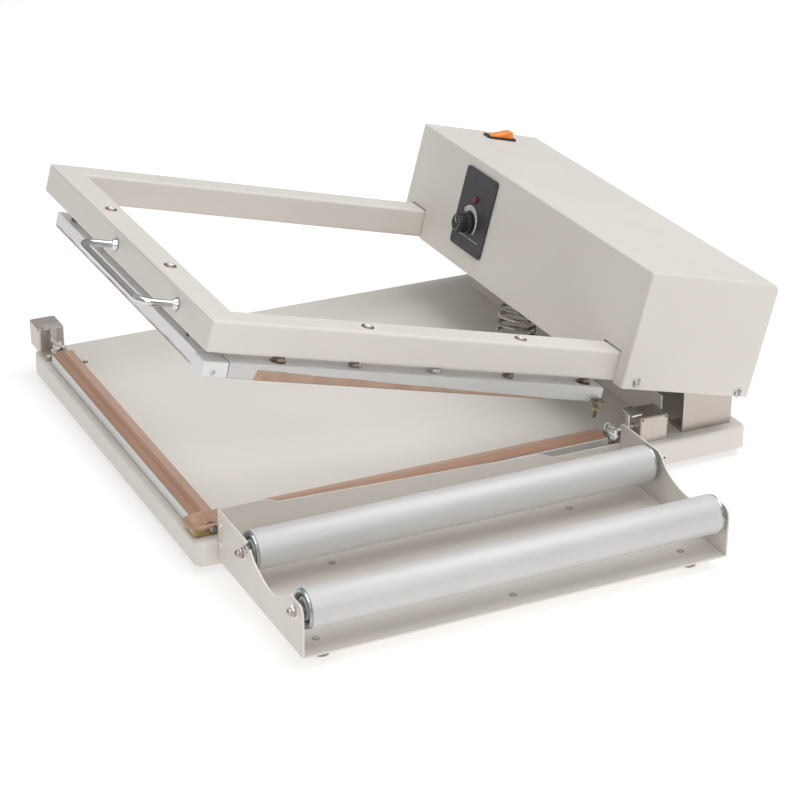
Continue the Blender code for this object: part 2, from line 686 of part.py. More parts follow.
def build_tension_unit(name, place, turn, screw_side):
    """Clamp, spring hook and box that keep a heating wire tight. Local +X leaves the bar."""
    unit = empty(f"{name}_tension", place, (0, 0, turn))
    table = TABLE_TOP + SEAT_GAP
    block_end = BLOCK_START + BLOCK_LENGTH
    half = BLOCK_WIDTH / 2
    block = open_box(
        f"{name}_tension_block", (BLOCK_START, -half, table), (block_end, half, TABLE_TOP + BLOCK_TOP),
        BLOCK_WALL, BLOCK_EDGE, BLOCK_EDGE, NICKEL, unit,
    )
    fuse(block, box(f"{name}_block_base", (BLOCK_LIP_START, -half, table),
                    (BLOCK_START + BLOCK_WALL / 2, half, table + BLOCK_BASE), None, unit))
    window = ROD_RADIUS + RUNNING_GAP
    cut(block, rod(f"{name}_block_window", window, 2 * (BLOCK_WALL + CUT_OVERRUN),
                   (BLOCK_START, 0, WIRE_Z), "X", None, unit, SMALL_ROUND_STEPS))

    clamp_end = CLAMP_START + CLAMP_LENGTH
    clamp_low = table + CLAMP_LIFT
    washer_end = block_end - BLOCK_WALL - HOOK_TRAVEL - ROD_WASHER_THICKNESS
    hook_top = TABLE_TOP + BLOCK_TOP + HOOK_LIFT + HOOK_SHEET
    hook = box(f"{name}_tension_hook", (CLAMP_START, -CLAMP_WIDTH / 2, clamp_low),
               (clamp_end, CLAMP_WIDTH / 2, clamp_low + CLAMP_HEIGHT), NICKEL, unit)
    soften(hook, BLOCK_EDGE)
    cut(hook, box(f"{name}_clamp_slot", (0, -CLAMP_SLOT / 2, WIRE_Z - CLAMP_SLOT / 2),
                  (CLAMP_START + CLAMP_SLOT_DEPTH, CLAMP_SLOT / 2, hook_top), None, unit))
    screw_low = CLAMP_WIDTH / 2 - CLAMP_SCREW_HEAD
    fuse(hook, rod(f"{name}_clamp_screw", CLAMP_SCREW_RADIUS, 2 * CLAMP_SCREW_HEAD,
                   (CLAMP_START + CLAMP_LENGTH / 2, screw_side * (screw_low + CLAMP_SCREW_HEAD),
                    clamp_low + CLAMP_HEIGHT / 2), "Y", None, unit, SMALL_ROUND_STEPS))
    stem = HOOK_STEM_WIDTH / 2
    fuse(hook, box(f"{name}_hook_stem", (HOOK_START, -stem, TABLE_TOP + HOOK_STEM_BOTTOM),
                   (HOOK_START + HOOK_SHEET, stem, hook_top), None, unit))
    fuse(hook, box(f"{name}_hook_flange", (HOOK_START, -HOOK_FLANGE_WIDTH / 2, hook_top - HOOK_SHEET),
                   (HOOK_START + HOOK_FLANGE_LENGTH, HOOK_FLANGE_WIDTH / 2, hook_top), None, unit))
    rod_start = clamp_end - CUT_OVERRUN
    rod_end = washer_end + ROD_WASHER_THICKNESS - SEAT_GAP
    fuse(hook, rod(f"{name}_hook_rod", ROD_RADIUS, rod_end - rod_start,
                   ((rod_start + rod_end) / 2, 0, WIRE_Z), "X", None, unit, SMALL_ROUND_STEPS))
    fuse(hook, rod(f"{name}_hook_washer", ROD_WASHER_RADIUS, ROD_WASHER_THICKNESS,
                   (washer_end, 0, WIRE_Z), "X", None, unit, SMALL_ROUND_STEPS))

    start = BLOCK_START + BLOCK_WALL + SEAT_GAP + TENSION_SPRING_WIRE
    end = washer_end - ROD_WASHER_THICKNESS / 2 - SEAT_GAP - TENSION_SPRING_WIRE
    count = TENSION_SPRING_TURNS * TENSION_SPRING_POINTS
    points = []
    for step in range(count + 1):
        angle = 2 * math.pi * step / TENSION_SPRING_POINTS
        points.append((start + (end - start) * step / count,
                       TENSION_SPRING_RADIUS * math.cos(angle),
                       WIRE_Z + TENSION_SPRING_RADIUS * math.sin(angle)))
    wire_tube(f"{name}_tension_spring", points, TENSION_SPRING_WIRE, STEEL, unit)
    gap = least_gap(points, TENSION_SPRING_WIRE, TENSION_SPRING_POINTS // 2)
    print(f"{name} tension spring, least gap {gap * 1000:.2f} mm")


def build_hinge_stand():
    """Plated side plates, the long shaft through them and the painted guard round them."""
    low = TABLE_TOP + SEAT_GAP
    start = HINGE_Y + BRACKET_BACK - BRACKET_DEPTH
    end = HINGE_Y + BRACKET_BACK
    crown = HINGE_Z + BRACKET_CROWN
    for side, sign in (("left", -1), ("right", 1)):
        outline = filleted([
            (start, low), (end, low), (end, crown, BRACKET_BACK - SEAT_GAP),
            (HINGE_Y - BRACKET_BACK, crown, BRACKET_CROWN), (start, HINGE_Z),
        ])
        hole = circle(HINGE_Y, HINGE_Z, HINGE_SHAFT_RADIUS + SEAT_GAP)
        middle = ARM_X + sign * (BRACKET_OUTER - BRACKET_SHEET / 2)
        bracket = plate(f"hinge_bracket_{side}", [outline, hole], BRACKET_SHEET, (middle, 0, 0),
                        ALONG_YZ, NICKEL)
        inner = ARM_X + sign * (BRACKET_OUTER - BRACKET_FLANGE)
        outer = ARM_X + sign * (BRACKET_OUTER - BRACKET_SHEET / 2)
        fuse(bracket, box(f"bracket_flange_{side}", (min(inner, outer), start, low),
                          (max(inner, outer), end, low + BRACKET_SHEET)))

    half = BRACKET_OUTER + SHAFT_END
    rod("hinge_shaft", HINGE_SHAFT_RADIUS, 2 * half, (ARM_X, HINGE_Y, HINGE_Z), "X", STEEL)

    guard_low = ARM_X - (FRAME_WIDTH - GUARD_NARROWER) / 2
    guard_high = ARM_X + (FRAME_WIDTH - GUARD_NARROWER) / 2
    guard = box("hinge_guard", (guard_low, GUARD_Y, low),
                (guard_high, GUARD_Y + GUARD_SHEET, HINGE_Z + HOUSING_FLOOR_Z - GUARD_CLEARANCE), CREAM)
    strip = BRACKET_OUTER - BRACKET_FLANGE - SEAT_GAP
    rear_wall = end + SEAT_GAP
    fuse(guard, box("guard_floor", (ARM_X - strip, GUARD_Y + GUARD_SHEET / 2, low),
                    (ARM_X + strip, rear_wall + GUARD_SHEET / 2, low + GUARD_SHEET)))
    fuse(guard, box("guard_rear", (guard_low, rear_wall, low),
                    (guard_high, rear_wall + GUARD_SHEET, low + GUARD_REAR_HEIGHT)))


def build_arm_spring():
    """Coil that leans with the raised arm: its axis is an arc from the table to the chassis."""
    table = TABLE_TOP + SEAT_GAP
    seat_top = SPRING_SEAT_FLANGE
    spigot_top = seat_top + SPRING_SPIGOT_HEIGHT
    profile = [
        (0, spigot_top), (SPRING_SPIGOT_RADIUS, spigot_top), (SPRING_SPIGOT_RADIUS, seat_top),
        (SPRING_SEAT_RADIUS, seat_top), (SPRING_SEAT_RADIUS, 0), (0, 0),
    ]
    turned("spring_seat", profile, (TABLE_X, SPRING_Y, table), (0, 0, 0), STEEL)

    clear = SEAT_GAP + SPRING_WIRE_RADIUS
    foot = Vector((TABLE_X, SPRING_Y, table + seat_top + clear))
    hinge = Vector((ARM_X, HINGE_Y, HINGE_Z))
    up = Vector((0, math.sin(OPEN_ANGLE), math.cos(OPEN_ANGLE)))
    drop = -HOUSING_FLOOR_Z + clear
    arc_length = (-drop - (foot - hinge).dot(up)) * OPEN_ANGLE / math.sin(OPEN_ANGLE)
    bend_radius = arc_length / OPEN_ANGLE
    count = round(SPRING_TURNS * SPRING_POINTS_PER_TURN)
    end_rise = SPRING_END_PITCH * SPRING_END_TURNS
    points = []
    for step in range(count + 1):
        turn = SPRING_TURNS * step / count
        left = SPRING_TURNS - turn
        if turn < SPRING_END_TURNS:
            rise = SPRING_END_PITCH * turn
        elif left < SPRING_END_TURNS:
            rise = arc_length - SPRING_END_PITCH * left
        else:
            free = (turn - SPRING_END_TURNS) / (SPRING_TURNS - 2 * SPRING_END_TURNS)
            rise = end_rise + (arc_length - 2 * end_rise) * free
        lean = rise / bend_radius
        centre = foot + Vector((0, 1 - math.cos(lean), math.sin(lean))) * bend_radius
        across = Vector((0, math.cos(lean), -math.sin(lean)))
        angle = 2 * math.pi * turn
        point = centre + SPRING_COIL_RADIUS * (
            Vector((math.cos(angle), 0, 0)) + across * math.sin(angle)
        )
        points.append(tuple(point))
    wire_tube("arm_spring", points, SPRING_WIRE_RADIUS, SPRING_STEEL)
    gap = least_gap(points, SPRING_WIRE_RADIUS, SPRING_POINTS_PER_TURN // 2)
    print(f"arm spring, least gap {gap * 1000:.2f} mm")


def build_cradle():
    """Folded tray riveted between two end plates, with two free rollers for the film roll."""
    back = CRADLE_BACK_X
    floor = CRADLE_FLOOR_Z
    depth = CRADLE_DEPTH
    axles = (
        ("inner", back + depth * ROLLER_INNER_SHARE, TABLE_TOP + ROLLER_INNER_RISE),
        ("outer", back + depth - ROLLER_OUTER_INSET, TABLE_TOP + ROLLER_OUTER_RISE),
    )
    shelf = TABLE_TOP + CRADLE_RISE
    edge = [
        (back + depth * across, TABLE_TOP + CRADLE_RISE * up, CRADLE_EDGE_RADIUS)
        for across, up in CRADLE_EDGE_SHARES
    ]
    profile = filleted([
        (back, floor),
        (back + depth, floor, CRADLE_SMALL_RADIUS),
        (back + depth, TABLE_TOP + CRADLE_RISE * CRADLE_FRONT_SHARE, CRADLE_FRONT_RADIUS),
        *edge,
        (back + depth * CRADLE_SHOULDER_SHARE, shelf, CRADLE_EDGE_RADIUS),
        (back, shelf, CRADLE_SMALL_RADIUS),
    ])
    holes = [circle(x, z, AXLE_RADIUS + SEAT_GAP) for _, x, z in axles]
    for end, sign, face in (("front", -1, CRADLE_FRONT_Y), ("rear", 1, CRADLE_REAR_Y)):
        middle = face - sign * CRADLE_SHEET / 2
        cheek = plate(f"cradle_plate_{end}", [profile, *holes], CRADLE_SHEET, (0, middle, 0),
                      ALONG_XZ, CREAM)
        if end == "front":
            cut(cheek, axle_slot(*axles[0][1:], middle))
        for index in range(2):
            z = TABLE_TOP + index * RIVET_PITCH
            length = 2 * RIVET_HEIGHT
            fuse(cheek, rod(f"rivet_{end}_{index}", RIVET_RADIUS, length,
                            (back + RIVET_INSET, face, z), "Y", None, None, SMALL_ROUND_STEPS))

    front = CRADLE_FRONT_Y + CRADLE_SHEET + SEAT_GAP
    rear = CRADLE_REAR_Y - CRADLE_SHEET - SEAT_GAP
    step_one = front + WALL_TAB_LENGTH
    step_two = step_one + WALL_STEP_LENGTH + (rear - front) * WALL_MIDDLE_SHARE
    curve = WALL_CURVE_RADIUS
    wall_profile = filleted([
        (front, floor), (rear, floor), (rear, TABLE_TOP + WALL_END_RISE),
        (step_two + WALL_STEP_LENGTH, TABLE_TOP + WALL_END_RISE, curve),
        (step_two, TABLE_TOP + WALL_MIDDLE_END_RISE, curve),
        (step_one + WALL_STEP_LENGTH, TABLE_TOP + WALL_MIDDLE_RISE, curve),
        (step_one, TABLE_TOP + CRADLE_RISE, curve),
        (front, TABLE_TOP + CRADLE_RISE),
    ])
    tray = plate("cradle_tray", [wall_profile], CRADLE_SHEET, (back + CRADLE_SHEET / 2, 0, 0),
                 ALONG_YZ, CREAM)
    fuse(tray, box("cradle_floor", (back + CRADLE_SHEET / 2, front, floor),
                   (back + depth, rear, floor + CRADLE_SHEET)))
    hole_shares = ((0.27, 0.21), (0.26, 0.80), (0.90, 0.50))
    for index, (across, along) in enumerate(hole_shares):
        place = (back + depth * across, front + (rear - front) * along, floor)
        cut(tray, rod(f"cradle_hole_{index}", CRADLE_HOLE_RADIUS, 2 * (CRADLE_SHEET + CUT_OVERRUN),
                      place, "Z", None, None, SMALL_ROUND_STEPS))

    height = floor - SEAT_GAP
    foot_profile = [
        (0, height), (CRADLE_FOOT_RADIUS, height), (CRADLE_FOOT_RADIUS - height / 8, 0), (0, 0)
    ]
    for end, y in (("front", front + CRADLE_FOOT_INSET_Y), ("rear", rear - CRADLE_FOOT_INSET_Y)):
        turned(f"cradle_foot_{end}", foot_profile, (back + depth - CRADLE_FOOT_INSET_X, y, 0),
               (0, 0, 0), RUBBER, steps=SMALL_ROUND_STEPS)
    for name, x, z in axles:
        build_roller(name, x, z)


def axle_slot(x, z, middle):
    """Cutter for the slanted open slot that lets the inner roller's axle drop in."""
    half = AXLE_RADIUS + SEAT_GAP
    across = Vector((-math.sin(SLOT_ANGLE), math.cos(SLOT_ANGLE))) * half
    along = Vector((math.cos(SLOT_ANGLE), math.sin(SLOT_ANGLE))) * SLOT_LENGTH
    axle = Vector((x, z))
    corners = (axle + across, axle - across, axle - across + along, axle + across + along)
    return plate("axle_slot_cut", [[tuple(corner) for corner in corners]],
                 2 * (CRADLE_SHEET + CUT_OVERRUN), (0, middle, 0), ALONG_XZ)


def build_roller(name, x, z):
    """Aluminium tube on two bearing caps, and its fixed axle with a nut on each face."""
    start = CRADLE_FRONT_Y + ROLLER_END_GAP
    end = CRADLE_REAR_Y - ROLLER_END_GAP
    middle = (start + end) / 2
    half = (end - start) / 2
    bore = ROLLER_RADIUS - ROLLER_WALL
    tube = [(ROLLER_RADIUS, half), (ROLLER_RADIUS, -half), (bore, -half), (bore, half)]
    turned(f"roller_{name}", tube, (x, middle, z), ALONG_XZ, ROLLER_METAL, ring=True,
           steps=2 * SMALL_ROUND_STEPS)
    rim = bore - SEAT_GAP
    axle_bore = AXLE_RADIUS + RUNNING_GAP
    flange = ROLLER_RADIUS - CAP_FLANGE_STEP
    hub_face = CAP_FLANGE - CAP_RECESS / 2
    groove = CAP_FLANGE - CAP_RECESS
    cap = [
        (flange - CAP_FLANGE_STEP, CAP_FLANGE), (flange, CAP_FLANGE - CAP_FLANGE_STEP),
        (flange, SEAT_GAP), (rim, SEAT_GAP), (rim, -CAP_LENGTH), (axle_bore, -CAP_LENGTH),
        (axle_bore, hub_face), (CAP_HUB_RADIUS, hub_face), (CAP_HUB_RADIUS, groove),
        (flange - CAP_RIM - CAP_RECESS, groove), (flange - CAP_RIM, CAP_FLANGE),
    ]
    for place, y, turn in (("front", start, math.pi / 2), ("rear", end, -math.pi / 2)):
        turned(f"roller_{name}_cap_{place}", cap, (x, y, z), (turn, 0, 0), ZINC, ring=True)

    tail = AXLE_NUT_HEIGHT + AXLE_TAIL + SEAT_GAP
    axle = rod(f"roller_{name}_axle", AXLE_RADIUS, CRADLE_LENGTH + 2 * tail,
               (x, CRADLE_FRONT_Y + CRADLE_LENGTH / 2, z), "Y", STEEL, None, SMALL_ROUND_STEPS)
    for end_name, sign, face in (("front", -1, CRADLE_FRONT_Y), ("rear", 1, CRADLE_REAR_Y)):
        outside = face + sign * (SEAT_GAP + AXLE_NUT_HEIGHT / 2)
        inside = face - sign * (CRADLE_SHEET + SEAT_GAP + AXLE_NUT_HEIGHT / 2)
        for place, y in (("outer", outside), ("inner", inside)):
            fuse(axle, rod(f"nut_{name}_{end_name}_{place}", AXLE_NUT_RADIUS, AXLE_NUT_HEIGHT,
                           (x, y, z), "Y", None, None, 6))


def u_outline(inset, rear):
    """Plan of the U frame, drawn in from its outer faces by the inset."""
    half = FRAME_WIDTH / 2 - inset
    front = arm_y(inset)
    inner_half = FRAME_WIDTH / 2 - TUBE + inset
    inner_front = arm_y(TUBE - inset)
    return [
        (-half, rear), (-half, front), (half, front), (half, rear),
        (inner_half, rear), (inner_half, inner_front), (-inner_half, inner_front),
        (-inner_half, rear),
    ]


def front_jaw_x(share):
    """X on the arm at a share of the front jaw's length, from its left end."""
    right = SIDE_LINE_LOCAL_X - BAR_WIDTH / 2 - SEAT_GAP
    return right - UPPER_FRONT_LENGTH * (1 - share)


def side_jaw_y(share):
    """Y on the arm at a share of the side jaw's length, from its front end."""
    return SIDE_JAW_START_Y + UPPER_SIDE_LENGTH * share


def jaw_bolt_places():
    """Bolt places on the arm: two in the front tube and two in the side tube."""
    front = [(front_jaw_x(share), JAW_LINE_Y) for share in FRONT_BOLT_SHARES]
    side = [(SIDE_LINE_LOCAL_X, side_jaw_y(share)) for share in SIDE_BOLT_SHARES]
    return front + side


def build_frame(arm):
    """Welded U of hollow tube, drilled for the jaw bolts, and its pull handle."""
    rear = -TUBE_END_TO_HINGE
    middle_z = arm_z(-TUBE / 2)
    frame = plate("u_frame", [u_outline(0, rear)], TUBE, (0, 0, middle_z), (0, 0, 0), CREAM, arm)
    soften(frame, TUBE_EDGE)
    cut(frame, plate("u_frame_bore", [u_outline(TUBE_WALL, rear + CUT_OVERRUN)],
                     TUBE - 2 * TUBE_WALL, (0, 0, middle_z), (0, 0, 0), None, arm))
    for index, (x, y) in enumerate(jaw_bolt_places()):
        cut(frame, rod(f"jaw_bolt_hole_{index}", JAW_BOLT_RADIUS + RUNNING_GAP,
                       TUBE + 2 * CUT_OVERRUN, (x, y, middle_z), "Z", None, arm,
                       SMALL_ROUND_STEPS))

    face = arm_y(0) - SEAT_GAP
    left = FRAME_WIDTH * (HANDLE_CENTRE_SHARE - HANDLE_SPAN_SHARE / 2)
    right = FRAME_WIDTH * (HANDLE_CENTRE_SHARE + HANDLE_SPAN_SHARE / 2)
    grip = face - HANDLE_REACH
    seat = face - HANDLE_FLANGE_THICKNESS / 2
    bend = HANDLE_BEND_RADIUS
    steps = 6
    path = [(left, seat)]
    for step in range(steps + 1):
        angle = math.pi / 2 * step / steps
        path.append((left + bend - bend * math.cos(angle), grip + bend - bend * math.sin(angle)))
    for step in range(steps + 1):
        angle = math.pi / 2 * step / steps
        path.append((right - bend + bend * math.sin(angle), grip + bend - bend * math.cos(angle)))
    path.append((right, seat))
    points = [(x, y, middle_z) for x, y in path]
    handle = swept_rod("pull_handle", points, HANDLE_ROD_RADIUS, CHROME, arm)
    for index, x in enumerate((left, right)):
        fuse(handle, rod(f"handle_flange_{index}", HANDLE_FLANGE_RADIUS, HANDLE_FLANGE_THICKNESS,
                         (x, seat, middle_z), "Y", None, arm))


def swept_rod(name, points, radius, paint, parent):
    """A round bar along points, as a closed mesh that can be fused or cut."""
    sketch = wire_tube("sketch", points, radius, paint, sides=3)
    bpy.context.view_layer.update()
    view = bpy.context.evaluated_depsgraph_get()
    mesh = bpy.data.meshes.new_from_object(sketch.evaluated_get(view))
    mesh.materials.clear()
    shape = bmesh.new()
    shape.from_mesh(mesh)
    bmesh.ops.remove_doubles(shape, verts=shape.verts, dist=0.000001)
    shape.to_mesh(mesh)
    shape.free()
    item = add(name, mesh, paint, parent=parent)
    item.matrix_basis = sketch.matrix_world
    bpy.data.objects.remove(sketch, do_unlink=True)
    return item


def jaw_outline():
    """Section of an upper jaw: chamfered bar with a groove below that holds the pad."""
    half = BAR_WIDTH / 2
    groove = JAW_PAD_WIDTH / 2 + SEAT_GAP
    depth = JAW_PAD_THICKNESS - JAW_PAD_PROUD + SEAT_GAP
    return [
        (-half + JAW_CHAMFER, 0), (-groove, 0), (-groove, depth), (groove, depth), (groove, 0),
        (half - JAW_CHAMFER, 0), (half, JAW_CHAMFER), (half, JAW_HEIGHT), (-half, JAW_HEIGHT),
        (-half, JAW_CHAMFER),
    ]


def build_jaws(arm):
    """Two jaws and their corner piece, which hang from four bolts and can lift together."""
    low = JAW_BOTTOM - HINGE_Z
    top = low + JAW_HEIGHT
    line_y = JAW_LINE_Y
    corner_left = SIDE_LINE_LOCAL_X - BAR_WIDTH / 2
    corner_right = SIDE_LINE_LOCAL_X + BAR_WIDTH / 2
    corner_rear = line_y + BAR_WIDTH / 2
    corner = box("jaw_corner", (corner_left, line_y - BAR_WIDTH / 2 - CORNER_LIP / 2, low),
                 (corner_right, corner_rear, top), ALUMINIUM, arm)
    soften(corner, JAW_CHAMFER)
    cut(corner, rod("jaw_corner_hole", JAW_BOLT_RADIUS, 2 * CUT_OVERRUN,
                    (corner_right, line_y - BAR_WIDTH / 8, low + JAW_HEIGHT / 3), "X", None, arm,
                    SMALL_ROUND_STEPS))

    front_end = corner_left - SEAT_GAP
    side_start = SIDE_JAW_START_Y
    front_jaw = plate("upper_front_jaw", [jaw_outline()], UPPER_FRONT_LENGTH,
                      (front_end - UPPER_FRONT_LENGTH / 2, line_y, low), ALONG_YZ, ALUMINIUM, arm)
    side_jaw = plate("upper_side_jaw", [jaw_outline()], UPPER_SIDE_LENGTH,
                     (SIDE_LINE_LOCAL_X, side_start + UPPER_SIDE_LENGTH / 2, low), ALONG_XZ,
                     ALUMINIUM, arm)
    pad_low = low - JAW_PAD_PROUD
    pad_high = pad_low + JAW_PAD_THICKNESS
    pad = JAW_PAD_WIDTH / 2
    box("front_jaw_pad", (front_end - UPPER_FRONT_LENGTH, line_y - pad, pad_low),
        (front_end, line_y + pad, pad_high), TAPE, arm)
    box("side_jaw_pad", (SIDE_LINE_LOCAL_X - pad, side_start, pad_low),
        (SIDE_LINE_LOCAL_X + pad, side_start + UPPER_SIDE_LENGTH, pad_high), TAPE, arm)

    frame_top = arm_z(0)
    shank_low = top - JAW_BOLT_DEPTH
    head_low = frame_top + SEAT_GAP
    head_high = head_low + JAW_BOLT_HEAD_HEIGHT
    profile = [
        (0, head_high), (JAW_BOLT_HEAD_RADIUS * 3 / 4, head_high),
        (JAW_BOLT_HEAD_RADIUS, head_low + JAW_BOLT_HEAD_HEIGHT / 3),
        (JAW_BOLT_HEAD_RADIUS, head_low), (JAW_BOLT_RADIUS, head_low),
        (JAW_BOLT_RADIUS, shank_low), (0, shank_low),
    ]
    owners = (front_jaw, front_jaw, side_jaw, side_jaw)
    for index, ((x, y), jaw) in enumerate(zip(jaw_bolt_places(), owners)):
        turned(f"jaw_bolt_{index + 1}", profile, (x, y, 0), (0, 0, 0), STEEL, arm,
               steps=SMALL_ROUND_STEPS)
        cut(jaw, rod(f"jaw_thread_{index}", JAW_BOLT_RADIUS + SEAT_GAP,
                     2 * (JAW_BOLT_DEPTH + SEAT_GAP), (x, y, top), "Z", None, arm,
                     SMALL_ROUND_STEPS))
    boss_middle = top + JAW_BOSS_HEIGHT / 2 - SEAT_GAP
    for index, share in enumerate(FRONT_BOSS_SHARES):
        fuse(front_jaw, rod(f"front_boss_{index}", JAW_BOSS_RADIUS, JAW_BOSS_HEIGHT,
                            (front_jaw_x(share), line_y, boss_middle), "Z", None, arm,
                            SMALL_ROUND_STEPS))
    for index, share in enumerate(SIDE_BOSS_SHARES):
        fuse(side_jaw, rod(f"side_boss_{index}", JAW_BOSS_RADIUS, JAW_BOSS_HEIGHT,
                           (SIDE_LINE_LOCAL_X, side_jaw_y(share), boss_middle), "Z", None, arm,
                           SMALL_ROUND_STEPS))
    build_actuator(arm, low)


def build_actuator(arm, jaw_low):
    """Tab on the side jaw's rear end with the bolt that reports a shut jaw to the switch."""
    x = SIDE_LINE_LOCAL_X + ACTUATOR_OUT
    y = -ACTUATOR_TO_HINGE
    tab_low = jaw_low + JAW_CHAMFER
    tab_top = tab_low + ACTUATOR_TAB
    tip = TABLE_TOP - ACTUATOR_INTO_TABLE - HINGE_Z
    half = ACTUATOR_TAB_WIDTH / 2
    actuator = box("switch_actuator",
                   (SIDE_LINE_LOCAL_X + BAR_WIDTH / 2 + SEAT_GAP, y - half, tab_low),
                   (x + ACTUATOR_NUT_RADIUS, y + half, tab_top), STEEL, arm)
    bolt_top = tab_top + ACTUATOR_TAB
    fuse(actuator, rod("actuator_bolt", ACTUATOR_RADIUS, bolt_top - tip,
                       (x, y, (bolt_top + tip) / 2), "Z", None, arm, SMALL_ROUND_STEPS))
    fuse(actuator, rod("actuator_nut", ACTUATOR_NUT_RADIUS, ACTUATOR_NUT_HEIGHT,
                       (x, y, tab_low + SEAT_GAP - ACTUATOR_NUT_HEIGHT / 2), "Z", None, arm, 6))


def build_seal_switch():
    """Small snap switch below the table, under the hole that the arm's bolt enters."""
    x = SIDE_LINE_X + ACTUATOR_OUT
    y = HINGE_Y - ACTUATOR_TO_HINGE
    plunger_top = TABLE_TOP - ACTUATOR_INTO_TABLE - SWITCH_PLUNGER_DROP
    low = FOOT_HEIGHT + BOTTOM_SHEET + SEAT_GAP
    body = box("seal_switch", (x - SWITCH_WIDTH / 2, y - SWITCH_LENGTH / 2, low),
               (x + SWITCH_WIDTH / 2, y + SWITCH_LENGTH / 2, low + SWITCH_HEIGHT), BLACK)
    start = low + SWITCH_HEIGHT - SEAT_GAP
    fuse(body, rod("switch_plunger", SWITCH_PLUNGER_RADIUS, plunger_top - start,
                   (x, y, (plunger_top + start) / 2), "Z", None, None, SMALL_ROUND_STEPS))


def build_housing(arm):
    """Sheet cover over the chassis, notched where the tubes enter."""
    half = HOUSING_WIDTH / 2
    front = HOUSING_FRONT_Y
    rear = HOUSING_REAR_Y
    shape = bmesh.new()
    bmesh.ops.create_cube(shape, size=1.0)
    size = (HOUSING_WIDTH, HOUSING_DEPTH, HOUSING_HEIGHT)
    bmesh.ops.scale(shape, vec=size, verts=shape.verts)
    rear_edge = [
        e for e in shape.edges if all(v.co.y > 0 and v.co.z > 0 for v in e.verts)
    ]
    bmesh.ops.bevel(shape, geom=rear_edge, offset=HOUSING_REAR_EDGE, segments=5, profile=ROUND_SHARE,
                    affect="EDGES")
    others = [
        e for e in shape.edges
        if e.calc_face_angle() > math.radians(60) and max(v.co.z for v in e.verts) > 0
    ]
    bmesh.ops.bevel(shape, geom=others, offset=HOUSING_EDGE, segments=2, profile=ROUND_SHARE,
                    affect="EDGES")
    floor = [f for f in shape.faces if f.calc_center_median().z < -size[2] / 2 + HOUSING_SHEET]
    bmesh.ops.delete(shape, geom=floor, context="FACES")
    middle = (0, (front + rear) / 2, (HOUSING_FLOOR_Z + HOUSING_TOP_Z) / 2)
    cover = add("housing_cover", mesh_from(shape), CREAM, middle, parent=arm)
    sheet = cover.modifiers.new("sheet", "SOLIDIFY")
    sheet.thickness = HOUSING_SHEET
    sheet.offset = -1
    outer = FRAME_WIDTH / 2 + NOTCH_GAP
    inner = FRAME_WIDTH / 2 - TUBE - NOTCH_GAP
    for side, low_x, high_x in (("left", -outer, -inner), ("right", inner, outer)):
        cut(cover, box(f"tube_notch_{side}", (low_x, front - CUT_OVERRUN, HOUSING_FLOOR_Z - CUT_OVERRUN),
                       (high_x, front + HOUSING_SHEET + CUT_OVERRUN, arm_z(NOTCH_GAP)), None, arm))
    wall = 2 * (HOUSING_SHEET + CUT_OVERRUN)
    for name, radius, x, z in (
        ("knob", POT_SHAFT_RADIUS + RUNNING_GAP, KNOB_X, KNOB_Z),
        ("lamp", LAMP_STEM_RADIUS + SEAT_GAP, LAMP_X, LAMP_Z),
    ):
        cut(cover, rod(f"cover_{name}_hole", radius, wall, (x, front, z), "Y", None, arm,
                       SMALL_ROUND_STEPS))
    rocker_y = HOUSING_FRONT_Y + ROCKER_FROM_FRONT_WALL
    body_x = BEZEL_WIDTH / 2 - BEZEL_BODY_INSET + SEAT_GAP
    body_y = BEZEL_LENGTH / 2 - BEZEL_BODY_INSET + SEAT_GAP
    cut(cover, box("cover_rocker_hole",
                   (ROCKER_X - body_x, rocker_y - body_y, HOUSING_TOP_Z - wall / 2),
                   (ROCKER_X + body_x, rocker_y + body_y, HOUSING_TOP_Z + wall / 2), None, arm))
    build_chassis(arm)


